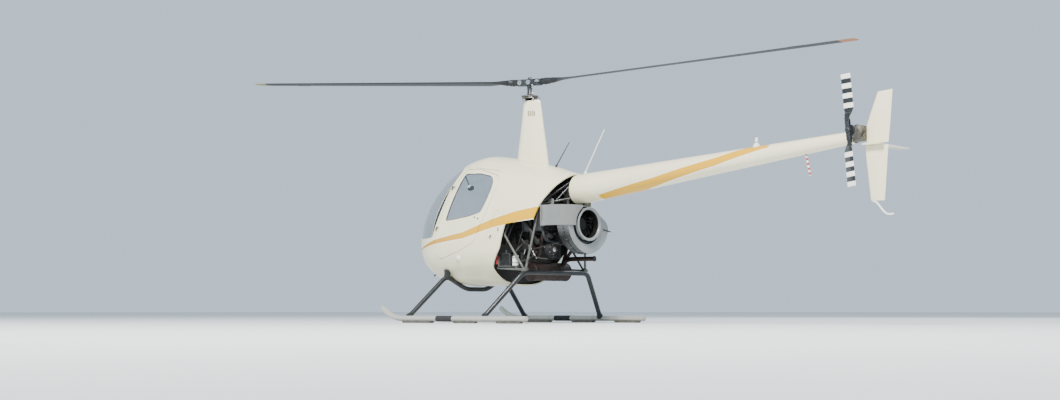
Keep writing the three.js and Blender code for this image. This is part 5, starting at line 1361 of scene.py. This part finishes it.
def belt_line(grow, parts=36):
    """The way round both wheels: two arcs joined by the straight runs that touch them."""
    low, high = SHEAVE["low"] + grow, SHEAVE["high"] + grow
    lean = np.arcsin((high - low) / (SHAFT_Z - ENGINE["z"]))
    arcs = [(high, SHAFT_Z, np.linspace(-lean, np.pi + lean, parts)),
            (low, ENGINE["z"], np.linspace(np.pi + lean, 2 * np.pi - lean, parts))]
    return np.concatenate([np.stack([r * np.cos(a), z + r * np.sin(a)], -1) for r, z, a in arcs])


rubber = paint("belt_rubber", "belt_rubber", "1E1E20", None, (0.7, 0.2, 90))
belts = [less(plate(belt_line(11), x, x + BELT_WIDTH, 0), plate(belt_line(0.5), x - 5, x + BELT_WIDTH + 5, 0))
         for x in BELT_X]
piece("belts", belts, rubber, nodes="drive_belts", bevel=1.5)
piece("belt_wheel_low", [grooved(ENGINE["z"], SHEAVE["low"], 31)], cast_alloy, nodes="lower_sheave")
shaft = [rod((-1100, 0, SHAFT_Z), (-190.4, 0, SHAFT_Z), 20, sides=32), grooved(SHAFT_Z, SHEAVE["high"], 21)]
shaft += [lathe((x, 0, SHAFT_Z), FORE, COUPLING, 6) for x in (-560, -300)]
piece("drive_shaft", shaft, cast_alloy, nodes="upper_sheave")

# Loose fittings in the bay. An oil cooler with pressed fins on the port tray, a pale canister held
# by two straps beside it, a red filter bowl, the rusty silencer with its tail pipe, and the air
# box.
COOLER_RIM = [(-140, 24, 404, 446, 621, 632), (-140, 24, 404, 446, 748, 760),
              (-140, -130, 400, 450, 621, 760), (14, 24, 400, 450, 621, 760)]
FILLER = [(0, 12), (8, 12), (9, 16), (24, 16), (25, 10), (34, 10)]
CAN = [(0, 30), (4, 34), (100, 34), (110, 31), (118, 22), (122, 12), (132, 12), (134, 8)]
BOWL = [(0, 18), (4, 26), (52, 27), (56, 22), (60, 22), (62, 28), (84, 28), (88, 14), (100, 12)]
MUFFLER = {"x": -277, "z": 560, "half": 285}
DRUM = [(0, 60), (1, 84), (6, 97), (12, 103), (18, 103), (19, 100), (190, 100), (191, 102), (199, 102),
        (200, 100), (370, 100), (371, 102), (379, 102), (380, 100), (551, 100), (552, 103), (558, 103),
        (564, 97), (569, 84), (570, 60)]
TAIL_PIPE = {"y": -200, "z": 698}
cooler = [brick(*rim) for rim in COOLER_RIM]
cooler += [brick(9.4 * k - 128, 9.4 * k - 126, 402, 448, 630, 750) for k in range(16)]
cooler.append(lathe((-60, 425, 758), UP, FILLER, 6))
piece("oil_radiator", cooler, cover_grey, nodes="oil_cooler", slot="bare_alloy")
piece("pale_canister", [lathe((-196, 425, 620.4), UP, CAN, 40)], white_paint, nodes="canister",
      slot="canister_white")
piece("canister_straps", [disc((-196, 425, z), UP, 12, 35.2, 40) for z in (648, 700)], bright_steel)
red = paint("red_filter_bowl", "rod_red", "B3201C 8C1714", (30,), (0.3, 0.2, 60), Coat_Weight=0.4)
piece("filter_bowl", [lathe((64, 446, 640), UP, BOWL)], red)
piece("filter_bracket", [brick(30, 90, 404, 424, 690, 712), rod((64, 430, 735), (64, 400, 735), 8, sides=14),
                         brick(24, 36, 396, 462, 616, 712)], tube_grey, bevel=1)
rust = Finish("heat_tinted_steel", "exhaust_steel")
burn, spots = rust.noise(9, 6, (1, 0.6, 1)), rust.noise(60, 4)
spotted = rust.mix(spots, hue("150F0F"), hue("2E1D1B"))
rust.set(Base_Color=rust.mix(burn.step(0.5, 0.35), spotted, hue("3A2C28")), Metallic=0.75 - spots * 0.5,
         Roughness=0.45 + burn * 0.3)
rust.bump(spots, 0.3, 0.0005)
y, z = TAIL_PIPE["y"], TAIL_PIPE["z"]
silencer = [lathe((MUFFLER["x"], -MUFFLER["half"], MUFFLER["z"]), PORT, DRUM, 56),
            bent([(-300, y, 610), (-360, y, z + 2), (-785, y, z)], 25, 28, 90, 10),
            lathe((-772, y, z), -FORE, [(0, 28), (3, 30), (15, 30), (17, 27)])]
for s in (1, -1):
    for x, bend in zip(BARREL_X, (-20, 100)):
        silencer.append(bent([(x, s * 286, 1000), (x, s * 300, 920), (x + bend, s * 236, 760),
                              (-290, s * 214, 640)], 19, 20, 70))
        silencer.append(disc((x, s * 286, 1002), (0, s * 4, -12), 9, 32, 6))
piece("silencer", silencer, rust, nodes="muffler")
piece("tail_pipe_bore", [rod((-791, y, z), (-700, y, z + 0.2), 22, sides=28)], shroud_black,
      slot="exhaust_steel")
airbox = [brick(-239, -90, -240, 120, 702, 898), brick(-243, -86, -244, 124, 800, 806)]
piece("air_cleaner", airbox, engine_black, nodes="air_box", slot="instrument_black", bevel=6)
corrugated = [(0, 40)] + [(4 + 5 * k, 46 if k % 2 else 40) for k in range(26)] + [(140, 40)]
piece("air_hose", [lathe((-236, 60, 850), (-144, 0, 30), corrugated, 28)], rubber)

# Cabin floor, bulkhead and bench. Folded alloy sheet: the floor carries rubber matting, the
# bulkhead and the box under the seats are painted grey, and the engine's side of the bulkhead is
# near black, for soot and for painted shade in the bay.
matting = paint("floor_matting", None, "222325 45433F", (12, 5), (0.7, 0.2, 90))
matting.bump(matting.node("Math", {"operation": "SINE"}, [matting.y * 900]), 0.5, 0.001)
trim = paint("grey_trim_paint", None, "6C6B67 8A8983", (9, 5), (0.55, 0.25, 200, 2), (500, 2, 0.2, 0.0004),
             Metallic=0.1)
bulkhead_sheet = Finish("bulkhead_sheet", None, Metallic=0.3)
middle = bulkhead_sheet.line(bulkhead_sheet.z, [(0.763, MAST_X + 0.126), (0.863, MAST_X + 0.053)])
front_side = (bulkhead_sheet.x - middle).step(0, 0.0005)
# Behind the bulkhead's middle the sheet is near black: soot and painted shade.
stain = bulkhead_sheet.noise(7, 6)
sooty_and_shaded = bulkhead_sheet.mix(stain, hue("151413"), hue("2E2C2A"))
bulkhead_sheet.set(Base_Color=bulkhead_sheet.mix(front_side, sooty_and_shaded, hue("7E7D78")),
                   Roughness=0.5 + stain * 0.3)
for node, finish in (("cabin_floor", matting), ("bench_box", trim), ("bulkhead", bulkhead_sheet)):
    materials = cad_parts[node].data.materials
    materials.clear()
    materials.append(finish.material)

# Seats. Foam cushions in dark grained vinyl, one to sit on and one to lean on for each person: they
# are blown up a little by a cloth simulation, held flat where they rest, and piped along the edge.
SEAT = [(184, 757), (568, 774), (572, 796), (552, 812), (196, 797)]
SEAT_PLAN = [(150, 60), (580, 60), (580, 440), (150, 440)]
BACK = [(76, 880), (140, 790), (158, 782), (160, 828), (134, 1176), (106, 1404), (78, 1418), (74, 1386)]
BACK_FRONT = [(60, 700), (440, 700), (440, 1080), (424, 1240), (378, 1418), (60, 1418)]
SEAT_SIDES = (60, 440)
# Flats that the soft forms rest on or stop at: a place, and the direction that is free
SIDE_STOPS = [((0, 41, 0), (0, 1, 0)), ((0, 459, 0), (0, -1, 0))]
SEAT_STOPS = [((165, 0, 742.6), (-0.0436, 0, 0.999)), ((180.5, 0, 812), (0.978, 0, -0.208)), *SIDE_STOPS,
              ((0, 0, 833), (0, 0, -1)), ((589, 0, 0), (-1, 0, 0))]
BACK_STOPS = [((56, 0, 900), (1, 0, 0)), ((130, 0, 767), (0.808, 0, 0.589)),
              ((179, 0, 812), (-0.978, 0, 0.208)), *SIDE_STOPS]
CHANNELS = (930, 1040, 1150, 1260)
CHANNEL_DEPTH, CHANNEL_WIDTH = 6, 7
SWELL = 24
PRESSURE, STEPS = 4, 20
PIPING = 3.2
SEAT_EDGE = [(570, 70, 806), (570, 430, 806), (200, 430, 806), (200, 70, 806)]
BACK_EDGE = [(160, 66, 830), (130, 66, 1180), (104, 66, 1404), (104, 380, 1404), (130, 432, 1150),
             (160, 432, 830)]


def blown(part, cap, voxel, stops):
    """The part's skin on an even grid after 20 steps of cloth with air pressure and no weight; no
    point moves further than cap, and points past a stop are set back on it."""
    start = stand_in(part[0] / 1000, part[1])
    grid = start.modifiers.new("grid", "REMESH")
    grid.mode, grid.voxel_size = "VOXEL", voxel / 1000
    even = evaluated(start)
    bpy.data.meshes.remove(start.data)
    soft = bpy.data.objects.new("soft", even)
    bpy.context.scene.collection.objects.link(soft)
    before, faces = read(even)
    after = before
    cloth = soft.modifiers.new("air", "CLOTH")
    cloth.settings.use_pressure, cloth.settings.uniform_pressure_force = True, PRESSURE
    cloth.settings.effector_weights.gravity = 0
    for step in range(1, STEPS + 1):
        bpy.context.scene.frame_set(step)
    after = read(soft.evaluated_get(bpy.context.evaluated_depsgraph_get()).to_mesh())[0]
    bpy.context.scene.frame_set(1)
    bpy.data.meshes.remove(even)
    before, after = before * 1000, after * 1000
    move = after - before
    far = np.maximum(np.linalg.norm(move, axis=1, keepdims=True), 1e-6)
    points = before + move * np.minimum(1, cap / far)
    for place, free in stops:
        past = np.minimum((points - place) @ np.array(free, float), 0)[:, None]
        points = points - past * np.array(free, float)
    return points, faces


def piping(points, corners, parts=40):
    """A cord sewn along an edge: even points round the corners, each moved to the nearest point of
    the form and smoothed with its neighbours, with circles square to their path."""
    corners = np.array([*corners, corners[0]], float)
    t = np.linspace(0, 1, parts, endpoint=False)[:, None]
    path = np.concatenate([a + (b - a) * t for a, b in zip(corners[:-1], corners[1:])])
    path = np.array([points[np.argmin(np.sum((points - at) ** 2, 1))] for at in path])
    for _ in range(3):
        path = (np.roll(path, 1, 0) + 2 * path + np.roll(path, -1, 0)) / 4
    tangent = unit(np.roll(path, -1, 0) - np.roll(path, 1, 0))
    return closed_loop(tube(path, tangent, np.linalg.svd(tangent)[2][-1], PIPING, 8))


vinyl = Finish("dark_grained_vinyl", "cushion_cover", Coat_Weight=0.15, Coat_Roughness=0.3)
grain = vinyl.node("TexVoronoi", {}, {"Vector": vinyl.place, "Scale": 420.0})
crease = vinyl.noise(14, 6)
vinyl.set(Base_Color=vinyl.mix(crease.step(0.55, 0.4), hue("2B2522"), hue("4A403A")),
          Roughness=0.45 + crease * 0.2)
vinyl.bump(grain + crease * 2, 0.35, 0.0007)
cord = paint("seat_piping", "cushion_cover", "171514", None, (0.5, 0.2, 200))
seat = blown(within(plate(rounded(SEAT, 14), *SEAT_SIDES, 1), plate(rounded(SEAT_PLAN, 50), 700, 900, 2)),
             SWELL, 7, SEAT_STOPS)
back = blown(within(plate(rounded(BACK, 12), *SEAT_SIDES, 1), plate(rounded(BACK_FRONT, 50), 0, 300, 0)),
             SWELL, 8, BACK_STOPS)
x, z = back[0][:, 0], back[0][:, 2]
front = np.clip((x - np.interp(z, [812, 1180, 1420], [160, 134, 104]) + 22) / 16, 0, 1)
groove = sum(np.exp(-((z - channel) / CHANNEL_WIDTH) ** 2) for channel in CHANNELS)
back = (back[0] - (CHANNEL_DEPTH * front * groove)[:, None] * FORE, back[1])
for side, where in [(1, "left"), (-1, "right")]:
    for name, form, edge in [("cushion", seat, SEAT_EDGE), ("backrest", back, BACK_EDGE)]:
        soft = piece(name + "_cover_" + where, [mirrored(form, side)], vinyl, nodes=name + "_" + where,
                     sharp=180)
        finer = soft.modifiers.new("finer", "SUBSURF")
        finer.levels = finer.render_levels = 1
        piece(name + "_piping_" + where, [mirrored(piping(form[0], edge), side)], cord)

# Instrument pedestal. A black moulded stand between the two pairs of knees, with eight round dials
# set in its sloping face, a panel of switches and knobs, and a compass on the screen post above.
PEDESTAL = [(1012, 512.8), (1226, 512.8), (1197, 1116), (1120, 1154), (1062, 1128)]
DIALS = [(560, -62, 42), (560, 62, 42), (466, -88, 37), (466, 0, 37), (466, 88, 37), (380, -88, 37),
         (380, 0, 37), (380, 88, 37)]
DIAL_RIM = [(0, 0), (10, 0), (12.5, 2), (13, 4), (9, 6)]
ROW_LOW, ROW_STEP = 60, 78
COMPASS = np.array([1000, -40, 1540], float)
COMPASS_FACE = [(0, 26), (14, 27), (26, 25), (28, 21), (26, 19), (24, 0)]
COMPASS_CAP = [(0, 34.5), (10, 33), (22, 26), (30, 14), (32, 0)]


def on_panel(points):
    """Places (out from the sloping face, to starboard, up along it) brought to the frame."""
    out, y, up = np.moveaxis(np.asarray(points, float), -1, 0)
    return np.stack([1011 + 0.0806 * up - 0.9967 * out, -y, 512.8 + 0.9967 * up + 0.0806 * out], -1)


def tick(out, y, up, angle, near, far, radius, end_radius, sides):
    """A bar that lies on a dial's face at an angle, from near to far from its middle."""
    places = [(out, y + r * np.cos(angle), up + r * np.sin(angle)) for r in (near, far)]
    return rod(*places, radius, end_radius, sides)


panel_black = paint("panel_black", "instrument_black", "1D1E20", None, (0.55, 0.25, 150),
                    (600, 2, 0.4, 0.0004))
stand, bezels, marks = [brick(-4, 5, -126, 126, 40, 318)], [], []
for up, y, r in DIALS:
    rim = [(out, r - narrower) for out, narrower in DIAL_RIM] + [(8.6, 0)]
    bezels.append(lathe((-4, y, up), FORE, rim))
    marks += [tick(4.9, y, up, 2 * np.pi * k / 12, (0.66 if k % 3 else 0.58) * r, 0.8 * r, 0.9, None, 4)
              for k in range(12)]
    marks.append(tick(5.6, y, up, 1.1 + up * 0.013 + y * 0.02, -0.2 * r, 0.7 * r, 1.2, 0.5, 6))
for low in (ROW_LOW, ROW_LOW + ROW_STEP, ROW_LOW + 2 * ROW_STEP):
    stand.append(brick(2, 11, -96, 96, low, low + 58))
    bezels += [lathe((8, y, low + 28), FORE, [(0, 13), (14, 11), (16, 9)], 20) for y in (-78, 78)]
    marks += [rod((10.8, y, low + 22), (10.8, y, low + 44), 1.6, sides=6) for y in np.linspace(-48, 48, 7)]
stand, bezels, marks = ([placed(part, on_panel) for part in parts] for parts in (stand, bezels, marks))
piece("instrument_stand", [plate(rounded(PEDESTAL, 16), -138, 138, 1), *stand], panel_black,
      nodes="console", bevel=4)
piece("dial_bezels", bezels, dark_fitting)
piece("dial_marks", marks, white_paint)
piece("compass_housing", [ball(COMPASS, 33), rod(COMPASS, (1048, -4, 1690), 7, sides=16),
                          lathe(COMPASS - (14, 0, 0), -FORE, COMPASS_FACE, 28)], dark_fitting)
piece("compass_cap", [lathe(COMPASS + (0, 0, 4), UP, COMPASS_CAP, 28)], white_paint)

# Controls. One stick on the floor between the seats with a cross-bar and two hand grips, a lever
# with a twist grip beside the port seat's inner edge, and two pairs of pedals on the floor in front.
STICK = {"x": 700, "z": 980, "half": 292}
GRIP = [(0, 6), (2, 12), (10, 15), (34, 13), (44, 15), (62, 13), (80, 15.5), (104, 14), (124, 15), (130, 9)]
TWIST_GRIP = [(0, 12), (3, 16), (96, 16), (100, 12)]
grip_rubber = paint("grip_rubber", "belt_rubber", "1A1A1C", None, (0.65, 0.2, 120), (300, 2, 0.4, 0.0006))
boot = [(0, 40), (3, 40)] + [(6 + 5.5 * k, (39 if k % 2 else 33) - 1.6 * k) for k in range(9)] + [(58, 16)]
x, z, half = STICK["x"], STICK["z"], STICK["half"]
controls = [bent([(x, 0, 560), (x + 38, 0, 800), (x, 0, z)], 14, 20, 60),
            rod((x, -half, z), (x, half, z), 10, sides=20),
            lathe((x, -24, z), PORT, [(0, 16), (4, 20), (44, 20), (48, 16)], 24),
            bent([(300, 8, 772), (420, 8, 800), (600, 8, 842)], 9, 16, 60)]
for y in (-250, -130, 130, 250):
    controls += [bent([(1290, y, 530), (1240, y, 560), (1216, y, 640)], 8, 12, 30),
                 rod((1214, y - 36, 646), (1214, y + 36, 646), 11, sides=18)]
hold = [lathe((x, 0, 512.8), UP, boot, 36), lathe((540, 8, 828), (100, 0, 24), TWIST_GRIP, 24)]
hold += [lathe((x + 1, s * (half + 4), z + 12), (-11, 0, -130), GRIP, 24) for s in (1, -1)]
piece("control_bars", controls, dark_fitting, nodes="control_stick")
piece("hand_grips", hold, grip_rubber)

# Main gearbox. A cast alloy bevel drive under the mast, ribbed and bolted, with the fixed mast tube
# rising from its lid.
BOX_SIDE = [(-190, 70), (-150, 118), (10, 118), (42, 80)]
MAST_TUBE = [(0, 62), (22, 62), (26, 44), (60, 38), (917, 38)]
box_plan = rounded([(x, -y) for x, y in BOX_SIDE] + BOX_SIDE[::-1], 16)
gearbox = [plate(inset(box_plan, by), low, high, 2) for by, low, high in [(0, 1392, 1560), (8, 1361, 1394),
                                                                         (14, 1558, 1580)]]
gearbox += [lathe((-74, 0, 1576), UP, [(0, 96), (10, 96), (12, 80), (24, 74)], 48),
            lathe((-150, 0, SHAFT_Z), -FORE, [(0, 74), (20, 74), (21, 60), (39, 56)], 36),
            lathe((0, 0, 1570), UP, MAST_TUBE)]
gearbox += [plate(inset(box_plan, -3), 1404 + 24 * k, 1409 + 24 * k, 2) for k in range(6)]
piece("gearbox_case", gearbox, cast_alloy, nodes="main_gearbox", bevel=1.5)
lid_bolts, seal_bolts = bolts((-74, 0, 1586), UP, 88, 12, 6, 6), bolts((-171, 0, SHAFT_Z), -FORE, 67, 8, 6, 6)
piece("gearbox_bolts", lid_bolts + seal_bolts, bright_steel)
